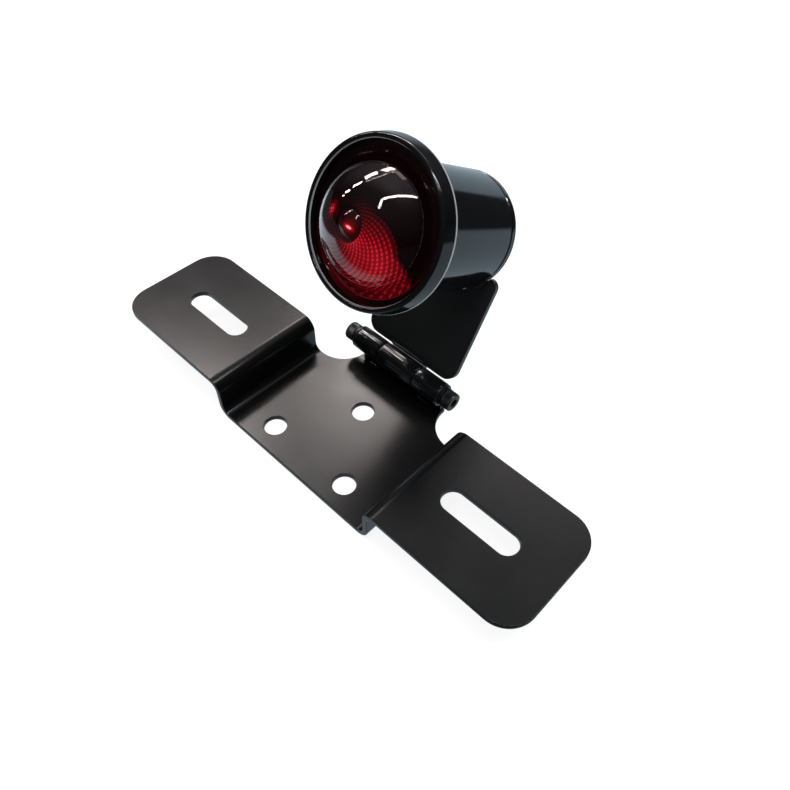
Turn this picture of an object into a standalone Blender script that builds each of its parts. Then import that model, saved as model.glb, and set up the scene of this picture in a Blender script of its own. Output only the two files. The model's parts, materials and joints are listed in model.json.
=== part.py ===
"""Motorcycle tail light: a round barrel lamp hinged on a stepped number-plate bracket.

Metres, +Z up. X runs along the hinge, the lens looks towards -Y and up, and the origin lies on
the underside of the bracket's panel, in the plane of symmetry. Inside the lamp, places are given
along the barrel's axis as a depth: zero at the bezel's front lip and growing rearwards.
"""

import math

import bmesh
import bpy
from mathutils import Matrix, Vector

MM = 0.001
GAP = 0.3 * MM  # clearance between pieces that touch on the real lamp
STACK_GAP = 0.1 * MM  # clearance between flat faces stacked on a screw
FINE, COARSE = 48, 24  # sides of the large and the small round pieces
SIDES = (("left", -1), ("right", 1))

# The bracket: one strip of sheet, bent up into a wing at each end.
SHEET = 2.0 * MM
STRIP_HALF_LENGTH = 95.9 * MM
STRIP_HALF_WIDTH = 22.75 * MM
WING_RISE = 14.7 * MM
WING_CORNER = 10.5 * MM
STEP_X = 37.1 * MM
BEND_RADIUS = 4.0 * MM  # to the middle of the sheet
SLOT_X, SLOT_LENGTH, SLOT_WIDTH = 65.0 * MM, 29.6 * MM, 8.5 * MM
HOLE_RADIUS = 4.15 * MM
HOLES = ((-18.0 * MM, -13.7 * MM), (18.0 * MM, -13.7 * MM), (0.0, 13.0 * MM))
NECK_HALF_WIDTH = 20.7 * MM
NECK_END_Y = 35.4 * MM
NOTCH_RADIUS = 11.8 * MM

# The hinge, whose axis runs along X.
HINGE_Y, HINGE_Z = 32.8 * MM, 12.0 * MM
KNUCKLE_RADIUS = 4.5 * MM
CENTRE_KNUCKLE_HALF = 8.75 * MM
SIDE_KNUCKLE_IN, SIDE_KNUCKLE_OUT = 9.05 * MM, 20.4 * MM
CLEAR_BORE_RADIUS, TAPPED_BORE_RADIUS = 2.3 * MM, 2.15 * MM
STRIP_FRONT_Y = 33.2 * MM
BAR_THICKNESS = 2.0 * MM

# The clamp screws: M4 socket heads on a flat and a spring washer.
FLAT_WASHER_RADIUS, FLAT_WASHER_THICKNESS = 4.4 * MM, 0.7 * MM
SPRING_WASHER_RADIUS, SPRING_WASHER_THICKNESS = 3.7 * MM, 0.9 * MM
HEAD_RADIUS, HEAD_LENGTH, HEAD_CHAMFER = 3.5 * MM, 4.0 * MM, 0.4 * MM
SHANK_RADIUS, SHANK_LENGTH = 1.85 * MM, 16.0 * MM
HEX_ACROSS_FLATS, HEX_DEPTH = 3.0 * MM, 2.2 * MM

# The lamp: its leaf stands square to the barrel and leans back from upright.
LEAN = math.radians(30.0)
LIP_AHEAD = 48.6 * MM  # from the hinge's axis forward to the bezel's lip
BARREL_RISE = 54.5 * MM  # from the hinge's axis up the leaf to the barrel's axis
LEAF_HALF_WIDTH = 21.3 * MM
LEAF_BOTTOM, LEAF_TOP = 4.6 * MM, 45.0 * MM
LEAF_CORNER, LEAF_TOP_CORNER = 5.0 * MM, 3.0 * MM
LEAF_BACK_DEPTH = 52.5 * MM
WELD_LEG = 2.4 * MM

BARREL_RADIUS, BARREL_WALL = 20.0 * MM, 1.5 * MM
BARREL_END = 52.5 * MM
BARREL_EDGE = 0.7 * MM
GROOVE_DEPTH_IN, GROOVE_AT, GROOVE_WIDTH = 0.35 * MM, 48.9 * MM, 0.7 * MM
FLANGE_RADIUS, FLANGE_BACK, FLANGE_CONE_END = 24.0 * MM, 8.3 * MM, 13.0 * MM
FLANGE_FRONT = 6.1 * MM
BEZEL_LIP_RADIUS, BEZEL_REAR_RADIUS, BEZEL_REAR = 25.35 * MM, 26.25 * MM, 5.5 * MM
BEZEL_MOUTH_RADIUS, BEZEL_BORE_RADIUS = 23.5 * MM, 24.35 * MM
BEZEL_SKIRT_END = 8.0 * MM
LENS_FRONT, LENS_FLANGE_THICKNESS = 3.0 * MM, 1.5 * MM
DOME_TIP, DOME_RADIUS, DOME_BASE_RADIUS, DOME_WALL = -11.4 * MM, 20.6 * MM, 19.7 * MM, 2.2 * MM
SOCKET_OUTER, SOCKET_WALL = 8.4 * MM, 0.6 * MM
SOCKET_FRONT, SOCKET_END = 21.5 * MM, 47.4 * MM
SOCKET_FLANGE_AT = 24.3 * MM
BULB_BASE_RADIUS, BULB_BASE_FRONT, BULB_BASE_END = 7.5 * MM, 23.0 * MM, 38.0 * MM
BULB_GLASS_RADIUS, BULB_TIP = 9.5 * MM, -1.0 * MM
CONTACT_OFFSET, CONTACT_RADIUS = 3.2 * MM, 1.6 * MM
RIVET_OFFSET = 10.8 * MM
GROMMET_HOLE = 4.3 * MM


# Scene, materials and shape helpers.

def start_scene():
    """Clears the scene and returns the collections for the parts and the cutters."""
    for obj in list(bpy.data.objects):
        bpy.data.objects.remove(obj)
    made = []
    for name in ("tail_light", "cutters"):
        collection = bpy.data.collections.new(name)
        bpy.context.scene.collection.children.link(collection)
        made.append(collection)
    return made


PARTS, CUTTERS = start_scene()


def make_material(name, colour, roughness, metallic, transmission=0.0):
    made = bpy.data.materials.new(name)
    made.use_nodes = True
    shader = made.node_tree.nodes["Principled BSDF"]
    shader.inputs["Base Color"].default_value = (*colour, 1.0)
    shader.inputs["Roughness"].default_value = roughness
    shader.inputs["Metallic"].default_value = metallic
    shader.inputs["Transmission Weight"].default_value = transmission
    return made


SATIN_BLACK = make_material("satin_black_powder", (0.02, 0.021, 0.022), 0.42, 0.0)
GLOSS_BLACK = make_material("gloss_black_lacquer", (0.012, 0.013, 0.015), 0.1, 0.0)
BLACK_STEEL = make_material("black_oxide_steel", (0.05, 0.05, 0.05), 0.4, 1.0)
RED_LENS = make_material("smoked_red_lens", (0.35, 0.01, 0.02), 0.05, 0.0, 0.7)
RUBBER = make_material("black_rubber", (0.02, 0.02, 0.02), 0.8, 0.0)
BRIGHT_TIN = make_material("bright_plated_steel", (0.8, 0.8, 0.8), 0.15, 1.0)
BRASS = make_material("brass", (0.75, 0.55, 0.25), 0.3, 1.0)
CLEAR_GLASS = make_material("clear_glass", (0.95, 0.95, 0.95), 0.02, 0.0, 1.0)
FIBRE = make_material("phenolic_fibre", (0.28, 0.13, 0.06), 0.6, 0.0)
SPRING_STEEL = make_material("spring_steel", (0.5, 0.5, 0.5), 0.3, 1.0)


def place(obj, material, collection, location, rotation, parent):
    obj.data.materials.append(material)
    collection.objects.link(obj)
    obj.location = location
    obj.rotation_euler = rotation
    obj.parent = parent
    return obj


def as_cutter(obj):
    obj.hide_render = True
    obj.display_type = "WIRE"
    return obj


def smooth(mesh):
    mesh.shade_smooth()
    mesh.set_sharp_from_angle(angle=math.radians(30))


def turned(name, profile, material, *, sides=FINE, location=(0, 0, 0), rotation=(0, 0, 0),
           parent=None, collection=None, closed=True):
    """A turned piece. The profile's (radius, height) points run down the outer side."""
    mesh = bpy.data.meshes.new(name)
    points = [(radius, 0.0, height) for radius, height in profile]
    edges = [(i, i + 1) for i in range(len(points) - 1)]
    if closed:
        edges.append((len(points) - 1, 0))
    mesh.from_pydata(points, edges, [])
    obj = bpy.data.objects.new(name, mesh)
    place(obj, material, collection or PARTS, location, rotation, parent)
    screw = obj.modifiers.new("Screw", "SCREW")
    screw.steps = screw.render_steps = sides
    screw.use_merge_vertices = True
    screw.merge_threshold = 0.00001
    screw.use_smooth_shade = True
    return obj


def corner_arc(before, corner, after, radius, steps):
    """The points of the arc that rounds a corner of an outline."""
    corner = Vector(corner)
    into = (Vector(before) - corner).normalized()
    out = (Vector(after) - corner).normalized()
    half = into.angle(out) / 2
    setback = radius / math.tan(half)
    centre = corner + (into + out).normalized() * radius / math.sin(half)
    start, end = corner + into * setback - centre, corner + out * setback - centre
    sweep = start.angle_signed(end)
    return [centre + Matrix.Rotation(-sweep * i / steps, 2) @ start for i in range(steps + 1)]


def rounded(corners, steps, closed=True):
    """The outline through (x, y, radius) corners, each rounded by its own radius."""
    outline = []
    count = len(corners)
    for i, (x, y, radius) in enumerate(corners):
        at_end = not closed and i in (0, count - 1)
        if at_end or radius == 0:
            outline.append(Vector((x, y)))
            continue
        before, after = corners[i - 1][:2], corners[(i + 1) % count][:2]
        outline += corner_arc(before, (x, y), after, radius, steps)
    return outline


def circle(x, y, radius, steps):
    turns = (2 * math.pi * i / steps for i in range(steps))
    return [Vector((x + radius * math.cos(t), y + radius * math.sin(t))) for t in turns]


def plate(name, outlines, thickness, material, *, location=(0, 0, 0), rotation=(0, 0, 0),
          parent=None, collection=None):
    """A flat plate in its own XY plane, from an outer outline and the outlines of its holes."""
    curve = bpy.data.curves.new(name, "CURVE")
    curve.dimensions = "2D"
    curve.fill_mode = "BOTH"
    curve.extrude = thickness / 2
    for outline in outlines:
        spline = curve.splines.new("POLY")
        spline.points.add(len(outline) - 1)
        for point, (x, y) in zip(spline.points, outline):
            point.co = (x, y, 0.0, 1.0)
        spline.use_cyclic_u = True
    obj = curve_to_mesh(name, curve)
    return place(obj, material, collection or PARTS, location, rotation, parent)


def curve_to_mesh(name, curve):
    """A mesh object made from a curve, with its loose caps welded on."""
    drawn = bpy.data.objects.new(name + "_curve", curve)
    bpy.context.scene.collection.objects.link(drawn)
    graph = bpy.context.evaluated_depsgraph_get()
    mesh = bpy.data.meshes.new_from_object(drawn.evaluated_get(graph))
    bpy.data.objects.remove(drawn)
    mesh.name = name
    welded = bmesh.new()
    welded.from_mesh(mesh)
    bmesh.ops.remove_doubles(welded, verts=welded.verts, dist=0.000001)
    bmesh.ops.recalc_face_normals(welded, faces=welded.faces)
    welded.to_mesh(mesh)
    welded.free()
    return bpy.data.objects.new(name, mesh)


def block(name, size, material, *, location, parent=None, collection=None):
    """A box with its centre at the location."""
    mesh = bpy.data.meshes.new(name)
    shape = bmesh.new()
    bmesh.ops.create_cube(shape, size=1.0, matrix=Matrix.Diagonal((*size, 1.0)))
    shape.to_mesh(mesh)
    shape.free()
    obj = bpy.data.objects.new(name, mesh)
    return place(obj, material, collection or PARTS, location, (0, 0, 0), parent)


def bead(name, size, material, *, location, parent=None):
    """A weld bead: an ellipsoid of the given size."""
    mesh = bpy.data.meshes.new(name)
    shape = bmesh.new()
    bmesh.ops.create_uvsphere(shape, u_segments=12, v_segments=6, radius=0.5)
    bmesh.ops.scale(shape, vec=size, verts=shape.verts)
    shape.to_mesh(mesh)
    shape.free()
    smooth(mesh)
    obj = bpy.data.objects.new(name, mesh)
    return place(obj, material, PARTS, location, (0, 0, 0), parent)


def boolean(target, tool, operation):
    modifier = target.modifiers.new(operation.title(), "BOOLEAN")
    modifier.operation = operation
    modifier.object = tool
    as_cutter(tool)


# The bracket and what is welded to it.

def step_path():
    """The middle line of the strip's section in XZ, from one wing's end to the other."""
    low, high = SHEET / 2, SHEET / 2 + WING_RISE
    beyond = STRIP_HALF_LENGTH + 5 * MM
    right = [(STEP_X, low, BEND_RADIUS), (STEP_X, high, BEND_RADIUS), (beyond, high, 0)]
    left = [(-x, z, radius) for x, z, radius in reversed(right)]
    return rounded(left + right, 8, closed=False)


def bent_strip():
    """The strip before its outline is cut: the path drawn out along Y and given its thickness."""
    front, back = -STRIP_HALF_WIDTH - 2 * MM, NECK_END_Y + 2 * MM
    path = step_path()
    points = [(x, y, z) for x, z in path for y in (front, back)]
    faces = [(2 * i, 2 * i + 2, 2 * i + 3, 2 * i + 1) for i in range(len(path) - 1)]
    mesh = bpy.data.meshes.new("bracket_plate")
    mesh.from_pydata(points, [], faces)
    strip = bpy.data.objects.new("bracket_plate", mesh)
    place(strip, SATIN_BLACK, PARTS, (0, 0, 0), (0, 0, 0), None)
    solidify = strip.modifiers.new("Solidify", "SOLIDIFY")
    solidify.thickness = SHEET
    solidify.offset = 0.0
    solidify.use_even_offset = True
    return strip


def build_bracket():
    """The strip, trimmed to its outline with the slots, the holes and the neck for the hinge."""
    wide, deep = STRIP_HALF_LENGTH, STRIP_HALF_WIDTH
    right = [
        (wide, -deep, WING_CORNER),
        (wide, deep, WING_CORNER),
        (NECK_HALF_WIDTH, deep, NOTCH_RADIUS),
        (NECK_HALF_WIDTH, NECK_END_Y, 0.5 * MM),
    ]
    left = [(-x, y, radius) for x, y, radius in reversed(right)]
    end = SLOT_WIDTH / 2
    slots = [
        rounded([(side * SLOT_X + a * SLOT_LENGTH / 2, b * end, 0.98 * end)
                 for a, b in ((-1, -1), (1, -1), (1, 1), (-1, 1))], 8)
        for _, side in SIDES
    ]
    holes = [circle(x, y, HOLE_RADIUS, COARSE) for x, y in HOLES]
    height = 2 * WING_RISE + 4 * SHEET
    outline = plate("bracket_outline", [rounded(right + left, 12), *slots, *holes], height,
                    SATIN_BLACK, collection=CUTTERS)
    boolean(bent_strip(), outline, "INTERSECT")


def along_x(side):
    """The rotation that points a turned piece's axis outwards along X on one side."""
    return (0, side * math.pi / 2, 0)


def ring(outer, inner, start, end):
    """The profile of a plain ring between two heights."""
    return [(outer, end), (outer, start), (inner, start), (inner, end)]


def build_side_knuckles():
    """The bar on the panel's edge, the two clearance tubes on it, and the welds."""
    bar_bottom = SHEET + GAP
    bar_top = HINGE_Z - KNUCKLE_RADIUS - GAP
    block("hinge_bar", (2 * (SIDE_KNUCKLE_OUT - GAP), BAR_THICKNESS, bar_top - bar_bottom),
          SATIN_BLACK,
          location=(0, STRIP_FRONT_Y + BAR_THICKNESS / 2, (bar_top + bar_bottom) / 2))
    for name, side in SIDES:
        turned(f"knuckle_{name}",
               ring(KNUCKLE_RADIUS, CLEAR_BORE_RADIUS, SIDE_KNUCKLE_IN, SIDE_KNUCKLE_OUT),
               GLOSS_BLACK, sides=COARSE, location=(0, HINGE_Y, HINGE_Z), rotation=along_x(side))
        middle = side * (SIDE_KNUCKLE_IN + SIDE_KNUCKLE_OUT) / 2
        bead(f"knuckle_weld_{name}", (10 * MM, 1.2 * MM, 1.2 * MM), SATIN_BLACK,
             location=(middle, STRIP_FRONT_Y - 0.9 * MM, bar_top - 0.7 * MM))
        bead(f"bar_tack_{name}", (5.4 * MM, 1.7 * MM, 1.3 * MM), SATIN_BLACK,
             location=(side * 12.5 * MM, STRIP_FRONT_Y - 1.15 * MM, SHEET + 0.95 * MM))


# The hinge's screws, which clamp the side knuckles and thread into the lamp's own.

def build_screw(name, side, pivot):
    flat_end = SIDE_KNUCKLE_OUT + STACK_GAP + FLAT_WASHER_THICKNESS
    spring_end = flat_end + STACK_GAP + SPRING_WASHER_THICKNESS
    head_start = spring_end + STACK_GAP
    head_end = head_start + HEAD_LENGTH
    rotation = along_x(side)
    turned(f"flat_washer_{name}",
           ring(FLAT_WASHER_RADIUS, CLEAR_BORE_RADIUS, flat_end - FLAT_WASHER_THICKNESS, flat_end),
           BLACK_STEEL, sides=COARSE, rotation=rotation, parent=pivot)
    washer = turned(f"spring_washer_{name}",
                    ring(SPRING_WASHER_RADIUS, CLEAR_BORE_RADIUS,
                         spring_end - SPRING_WASHER_THICKNESS, spring_end),
                    BLACK_STEEL, sides=COARSE, rotation=rotation, parent=pivot)
    split = block(f"washer_split_{name}", (3 * MM, 0.6 * MM, 3 * SPRING_WASHER_RADIUS), BLACK_STEEL,
                  location=(side * spring_end, 0, 1.6 * SPRING_WASHER_RADIUS), parent=pivot,
                  collection=CUTTERS)
    boolean(washer, split, "DIFFERENCE")
    screw = turned(f"hinge_screw_{name}",
                   [(0, head_end), (HEAD_RADIUS - HEAD_CHAMFER, head_end),
                    (HEAD_RADIUS, head_end - HEAD_CHAMFER), (HEAD_RADIUS, head_start),
                    (SHANK_RADIUS, head_start), (SHANK_RADIUS, head_start - SHANK_LENGTH),
                    (0, head_start - SHANK_LENGTH)],
                   BLACK_STEEL, sides=COARSE, rotation=rotation, parent=pivot, closed=False)
    across_corners = HEX_ACROSS_FLATS / math.cos(math.pi / 6)
    socket = turned(f"hex_socket_{name}",
                    [(0, head_end + 1 * MM), (across_corners / 2, head_end + 1 * MM),
                     (across_corners / 2, head_end - HEX_DEPTH),
                     (0, head_end - HEX_DEPTH - 0.7 * MM)],
                    BLACK_STEEL, sides=6, rotation=rotation, parent=pivot, collection=CUTTERS,
                    closed=False)
    boolean(screw, socket, "DIFFERENCE")


# The leaf and what is welded to it. In the pivot's frame Z runs up the leaf and -Y is forward.

def leaf_outline():
    wide = LEAF_HALF_WIDTH
    corners = [(-wide, LEAF_BOTTOM, LEAF_CORNER), (wide, LEAF_BOTTOM, LEAF_CORNER),
               (wide, LEAF_TOP, LEAF_TOP_CORNER), (-wide, LEAF_TOP, LEAF_TOP_CORNER)]
    return rounded(corners, 8)


def build_leaf(pivot):
    middle_y = LEAF_BACK_DEPTH - LIP_AHEAD - BAR_THICKNESS / 2
    leaf = plate("leaf_plate", [leaf_outline()], BAR_THICKNESS, SATIN_BLACK,
                 location=(0, middle_y, 0), rotation=(math.pi / 2, 0, 0), parent=pivot)
    tab = block("leaf_tab", (2 * (CENTRE_KNUCKLE_HALF - GAP), BAR_THICKNESS, 6 * MM), SATIN_BLACK,
                location=(0, middle_y, 4 * MM), parent=pivot, collection=CUTTERS)
    boolean(leaf, tab, "UNION")
    relief = turned("knuckle_relief", ring(KNUCKLE_RADIUS + GAP, 0.5 * MM, -30 * MM, 30 * MM),
                    SATIN_BLACK, rotation=along_x(1), parent=pivot, collection=CUTTERS)
    boolean(leaf, relief, "DIFFERENCE")
    saddle = turned("saddle_cutter", ring(BARREL_RADIUS + GAP, 1 * MM, -60 * MM, -40 * MM),
                    SATIN_BLACK, location=(0, -LIP_AHEAD, BARREL_RISE),
                    rotation=(math.pi / 2, 0, 0), parent=pivot, collection=CUTTERS)
    boolean(leaf, saddle, "DIFFERENCE")
    bead("leaf_weld", (16 * MM, 1.4 * MM, 1.4 * MM), SATIN_BLACK,
         location=(0, middle_y - BAR_THICKNESS / 2 - 0.95 * MM, KNUCKLE_RADIUS + 1.0 * MM),
         parent=pivot)


def build_centre_knuckle(pivot):
    half = CENTRE_KNUCKLE_HALF
    turned("knuckle_centre", ring(KNUCKLE_RADIUS, TAPPED_BORE_RADIUS, -half, half), GLOSS_BLACK,
           sides=COARSE, rotation=along_x(1), parent=pivot)


# The lamp's turned pieces, each on the barrel's axis.

def on_barrel(name, profile, material, pivot, **options):
    """A turned piece on the barrel's axis, from (radius, depth behind the lip) points."""
    points = [(radius, -depth) for radius, depth in profile]
    return turned(name, points, material, location=(0, -LIP_AHEAD, BARREL_RISE),
                  rotation=(math.pi / 2, 0, 0), parent=pivot, **options)


def build_housing(pivot):
    """The barrel: a cup with a flared mouth, a fine groove near its closed end and a wire hole."""
    inner = BARREL_RADIUS - BARREL_WALL
    rear_inside = BARREL_END - 2 * MM
    shoulder = FLANGE_FRONT + 1.4 * MM
    edge = [(BARREL_RADIUS - BARREL_EDGE * (1 - math.cos(t)),
             BARREL_END - BARREL_EDGE * (1 - math.sin(t)))
            for t in (math.pi / 6 * i for i in range(4))]
    on_barrel("housing", [
        (FLANGE_RADIUS, FLANGE_FRONT),
        (FLANGE_RADIUS, FLANGE_BACK),
        (BARREL_RADIUS, FLANGE_CONE_END),
        (BARREL_RADIUS, GROOVE_AT),
        (BARREL_RADIUS - GROOVE_DEPTH_IN, GROOVE_AT + GROOVE_WIDTH / 2),
        (BARREL_RADIUS, GROOVE_AT + GROOVE_WIDTH),
        *edge,
        (GROMMET_HOLE, BARREL_END),
        (GROMMET_HOLE, rear_inside),
        (inner, rear_inside),
        (inner, FLANGE_CONE_END),
        (inner + 1 * MM, shoulder),
        (FLANGE_RADIUS - 2 * MM, shoulder),
        (FLANGE_RADIUS - 2 * MM, FLANGE_FRONT),
    ], GLOSS_BLACK, pivot)


def build_housing_weld(pivot):
    """The fillet weld in the corner between the barrel and the front of the leaf."""
    root, toe = BARREL_RADIUS + GAP, BARREL_RADIUS + GAP + WELD_LEG
    face = LEAF_BACK_DEPTH - BAR_THICKNESS - GAP
    weld = on_barrel("housing_weld",
                     [(root, face - WELD_LEG), (toe - 0.4 * MM, face - 0.5 * MM), (toe, face),
                      (root, face)],
                     SATIN_BLACK, pivot)
    keep = block("weld_keep", (2 * LEAF_HALF_WIDTH, 20 * MM, 20 * MM), SATIN_BLACK,
                 location=(0, 0, LEAF_TOP - 1.5 * MM - 10 * MM), parent=pivot, collection=CUTTERS)
    boolean(weld, keep, "INTERSECT")


def build_bezel(pivot):
    """The flared ring that holds the lens, fixed by a set screw from below."""
    lip = [(BEZEL_LIP_RADIUS - 0.9 * MM * (1 - math.sin(t)), 0.9 * MM * (1 - math.cos(t)))
           for t in (math.pi / 6 * i for i in range(4))]
    bezel = on_barrel("bezel", [
        *lip,
        (BEZEL_REAR_RADIUS - 0.15 * MM, BEZEL_REAR - 0.5 * MM),
        (BEZEL_REAR_RADIUS, BEZEL_REAR),
        (BEZEL_BORE_RADIUS + 0.5 * MM, BEZEL_SKIRT_END),
        (BEZEL_BORE_RADIUS, BEZEL_SKIRT_END),
        (BEZEL_BORE_RADIUS, LENS_FRONT - GAP),
        (BEZEL_MOUTH_RADIUS, LENS_FRONT - GAP),
        (BEZEL_MOUTH_RADIUS, 1.4 * MM),
        (BEZEL_MOUTH_RADIUS + 0.4 * MM, 0.4 * MM),
    ], GLOSS_BLACK, pivot)
    screw_depth = (FLANGE_FRONT + BEZEL_SKIRT_END) / 2 - LIP_AHEAD
    for name, radius, target in (("bezel_screw_hole", 1.5 * MM, bezel),
                                 ("housing_screw_hole", 1.5 * MM, bpy.data.objects["housing"])):
        hole = turned(name, [(0, 30 * MM), (radius, 30 * MM), (radius, 15 * MM), (0, 15 * MM)],
                      BLACK_STEEL, sides=16, location=(0, screw_depth, BARREL_RISE),
                      rotation=(math.pi, 0, 0), parent=pivot, collection=CUTTERS, closed=False)
        boolean(target, hole, "DIFFERENCE")
    turned("bezel_screw", [(0, 25.3 * MM), (1.2 * MM, 25.3 * MM), (1.2 * MM, 22.2 * MM),
                           (0, 21.6 * MM)],
           BLACK_STEEL, sides=16, location=(0, screw_depth, BARREL_RISE),
           rotation=(math.pi, 0, 0), parent=pivot, closed=False)


def dome_points(radius, tip, base_radius, steps):
    """(radius, depth) points down a spherical cap, from its tip to a base radius."""
    reach = math.asin(base_radius / radius)
    turns = (reach * i / steps for i in range(steps + 1))
    return [(radius * math.sin(t), tip + radius * (1 - math.cos(t))) for t in turns]


def build_lens(pivot):
    """The lens: a domed shell on a flat flange, and its rubber ring."""
    flange_back = LENS_FRONT + LENS_FLANGE_THICKNESS
    outside = dome_points(DOME_RADIUS, DOME_TIP, DOME_BASE_RADIUS, 8)
    inside = dome_points(DOME_RADIUS - DOME_WALL, DOME_TIP + DOME_WALL,
                         DOME_BASE_RADIUS - DOME_WALL, 5)
    on_barrel("lens", [
        *outside,
        (DOME_BASE_RADIUS, LENS_FRONT),
        (FLANGE_RADIUS, LENS_FRONT),
        (FLANGE_RADIUS, flange_back),
        (DOME_BASE_RADIUS - DOME_WALL, flange_back),
        *reversed(inside),
    ], RED_LENS, pivot, closed=False)
    on_barrel("lens_gasket",
              [(FLANGE_RADIUS, flange_back + GAP), (FLANGE_RADIUS, FLANGE_FRONT - GAP),
               (20.6 * MM, FLANGE_FRONT - GAP), (20.6 * MM, flange_back + GAP)],
              RUBBER, pivot, sides=COARSE)


# Behind the lens: the reflector, the bayonet socket, the bulb and the sprung contacts.

def build_reflector(pivot):
    """A bright cup that hangs in the housing's mouth and carries the socket."""
    wall, rim_front = 0.8 * MM, FLANGE_FRONT + 0.3 * MM
    floor, floor_radius, mouth = 23.0 * MM, 13.0 * MM, 17.6 * MM
    steps = 4
    bowl = []
    for i in range(steps + 1):
        share = i / steps
        depth = rim_front + wall + share * (floor - rim_front - wall)
        bowl.append((floor_radius + (mouth - floor_radius) * math.sqrt(1 - share), depth))
    outside = [(radius + wall, depth) for radius, depth in bowl]
    reflector = on_barrel("reflector", [
        (21.7 * MM, rim_front),
        (21.7 * MM, rim_front + wall),
        *outside,
        (floor_radius + wall, floor + wall),
        (SOCKET_OUTER + GAP, floor + wall),
        (SOCKET_OUTER + GAP, floor),
        *reversed(bowl),
        (mouth, rim_front),
    ], BRIGHT_TIN, pivot, sides=32)
    return reflector, floor, floor + wall


def build_socket(pivot):
    """The bayonet socket: a tube with a flange, two slots for the pins and an inturned end."""
    inner = SOCKET_OUTER - SOCKET_WALL
    shell = on_barrel("socket_shell", [
        (SOCKET_OUTER, SOCKET_FRONT),
        (SOCKET_OUTER, SOCKET_FLANGE_AT),
        (13.0 * MM, SOCKET_FLANGE_AT),
        (13.0 * MM, SOCKET_FLANGE_AT + 1 * MM),
        (SOCKET_OUTER, SOCKET_FLANGE_AT + 1 * MM),
        (SOCKET_OUTER, SOCKET_END),
        (3.0 * MM, SOCKET_END),
        (3.0 * MM, SOCKET_END - SOCKET_WALL),
        (inner, SOCKET_END - SOCKET_WALL),
        (inner, SOCKET_FRONT),
    ], BRIGHT_TIN, pivot, sides=COARSE)
    slot_end = 33.0 * MM
    slot_front = SOCKET_FLANGE_AT + 1.6 * MM
    for name, side in SIDES:
        slot = block(f"pin_slot_{name}", (4 * MM, slot_end - slot_front, 3 * MM), BRIGHT_TIN,
                     location=(side * SOCKET_OUTER, (slot_front + slot_end) / 2 - LIP_AHEAD,
                               BARREL_RISE),
                     parent=pivot, collection=CUTTERS)
        boolean(shell, slot, "DIFFERENCE")
    return shell


def build_rivets(pivot, reflector, shell, front, back):
    """Two rivets join the socket's flange to the reflector's floor."""
    head, shank, head_height = 1.9 * MM, 1.0 * MM, 0.8 * MM
    flange_back = SOCKET_FLANGE_AT + 1 * MM
    for name, side in SIDES:
        place_at = (side * RIVET_OFFSET, -LIP_AHEAD, BARREL_RISE)
        hole = turned(f"rivet_hole_{name}",
                      [(0, 0), (shank + GAP, 0), (shank + GAP, -back - 5 * MM), (0, -back - 5 * MM)],
                      BRIGHT_TIN, sides=16, location=place_at, rotation=(math.pi / 2, 0, 0),
                      parent=pivot, collection=CUTTERS, closed=False)
        boolean(reflector, hole, "DIFFERENCE")
        boolean(shell, hole, "DIFFERENCE")
        near, far = front - GAP, flange_back + GAP
        turned(f"socket_rivet_{name}",
               [(0, -near + head_height), (head, -near + head_height / 2), (head, -near),
                (shank, -near), (shank, -far), (head, -far), (head, -far - head_height / 2),
                (0, -far - head_height)],
               BRASS, sides=16, location=place_at, rotation=(math.pi / 2, 0, 0), parent=pivot,
               closed=False)


def build_bulb(pivot):
    """The bulb: a glass open only at its neck, a brass base with two pins, and two contacts."""
    glass_wall, neck = 0.8 * MM, 6.6 * MM
    cap_steps = 4
    centre = BULB_TIP + BULB_GLASS_RADIUS
    neck_depth = BULB_BASE_FRONT - GAP

    def balloon(inset):
        radius = BULB_GLASS_RADIUS - inset
        turns = (math.pi / 2 * i / cap_steps for i in range(cap_steps + 1))
        cap = [(radius * math.sin(t), centre - radius * math.cos(t)) for t in turns]
        return [*cap, (radius, centre + 4 * MM), (neck - inset, neck_depth - 3 * MM),
                (neck - inset, neck_depth)]

    on_barrel("bulb_glass", [*balloon(0), *reversed(balloon(glass_wall))], CLEAR_GLASS, pivot,
              sides=COARSE, closed=False)
    base = on_barrel("bulb_base",
                     [(0, BULB_BASE_FRONT), (BULB_BASE_RADIUS, BULB_BASE_FRONT),
                      (BULB_BASE_RADIUS, BULB_BASE_END - 1 * MM),
                      (BULB_BASE_RADIUS - 1 * MM, BULB_BASE_END), (0, BULB_BASE_END)],
                     BRASS, pivot, sides=COARSE, closed=False)
    pins = turned("bayonet_pins", [(0, 8.2 * MM), (0.9 * MM, 8.2 * MM), (0.9 * MM, -8.2 * MM),
                                   (0, -8.2 * MM)],
                  BRASS, sides=12, location=(0, 31 * MM - LIP_AHEAD, BARREL_RISE),
                  rotation=along_x(1), parent=pivot, collection=CUTTERS, closed=False)
    boolean(base, pins, "UNION")
    for name, side in SIDES:
        stud(f"bulb_contact_{name}", side, BULB_BASE_END + GAP, pivot)


def stud(name, side, front, parent):
    """A low domed contact, 0.9 mm high, with its flat side forward."""
    profile = [(0, -front), (CONTACT_RADIUS, -front), (CONTACT_RADIUS, -front - 0.5 * MM),
               (CONTACT_RADIUS / 2, -front - 0.8 * MM), (0, -front - 0.9 * MM)]
    turned(name, profile, BRASS, sides=16, rotation=(math.pi / 2, 0, 0), parent=parent,
           location=(side * CONTACT_OFFSET, -LIP_AHEAD, BARREL_RISE), closed=False)


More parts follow.
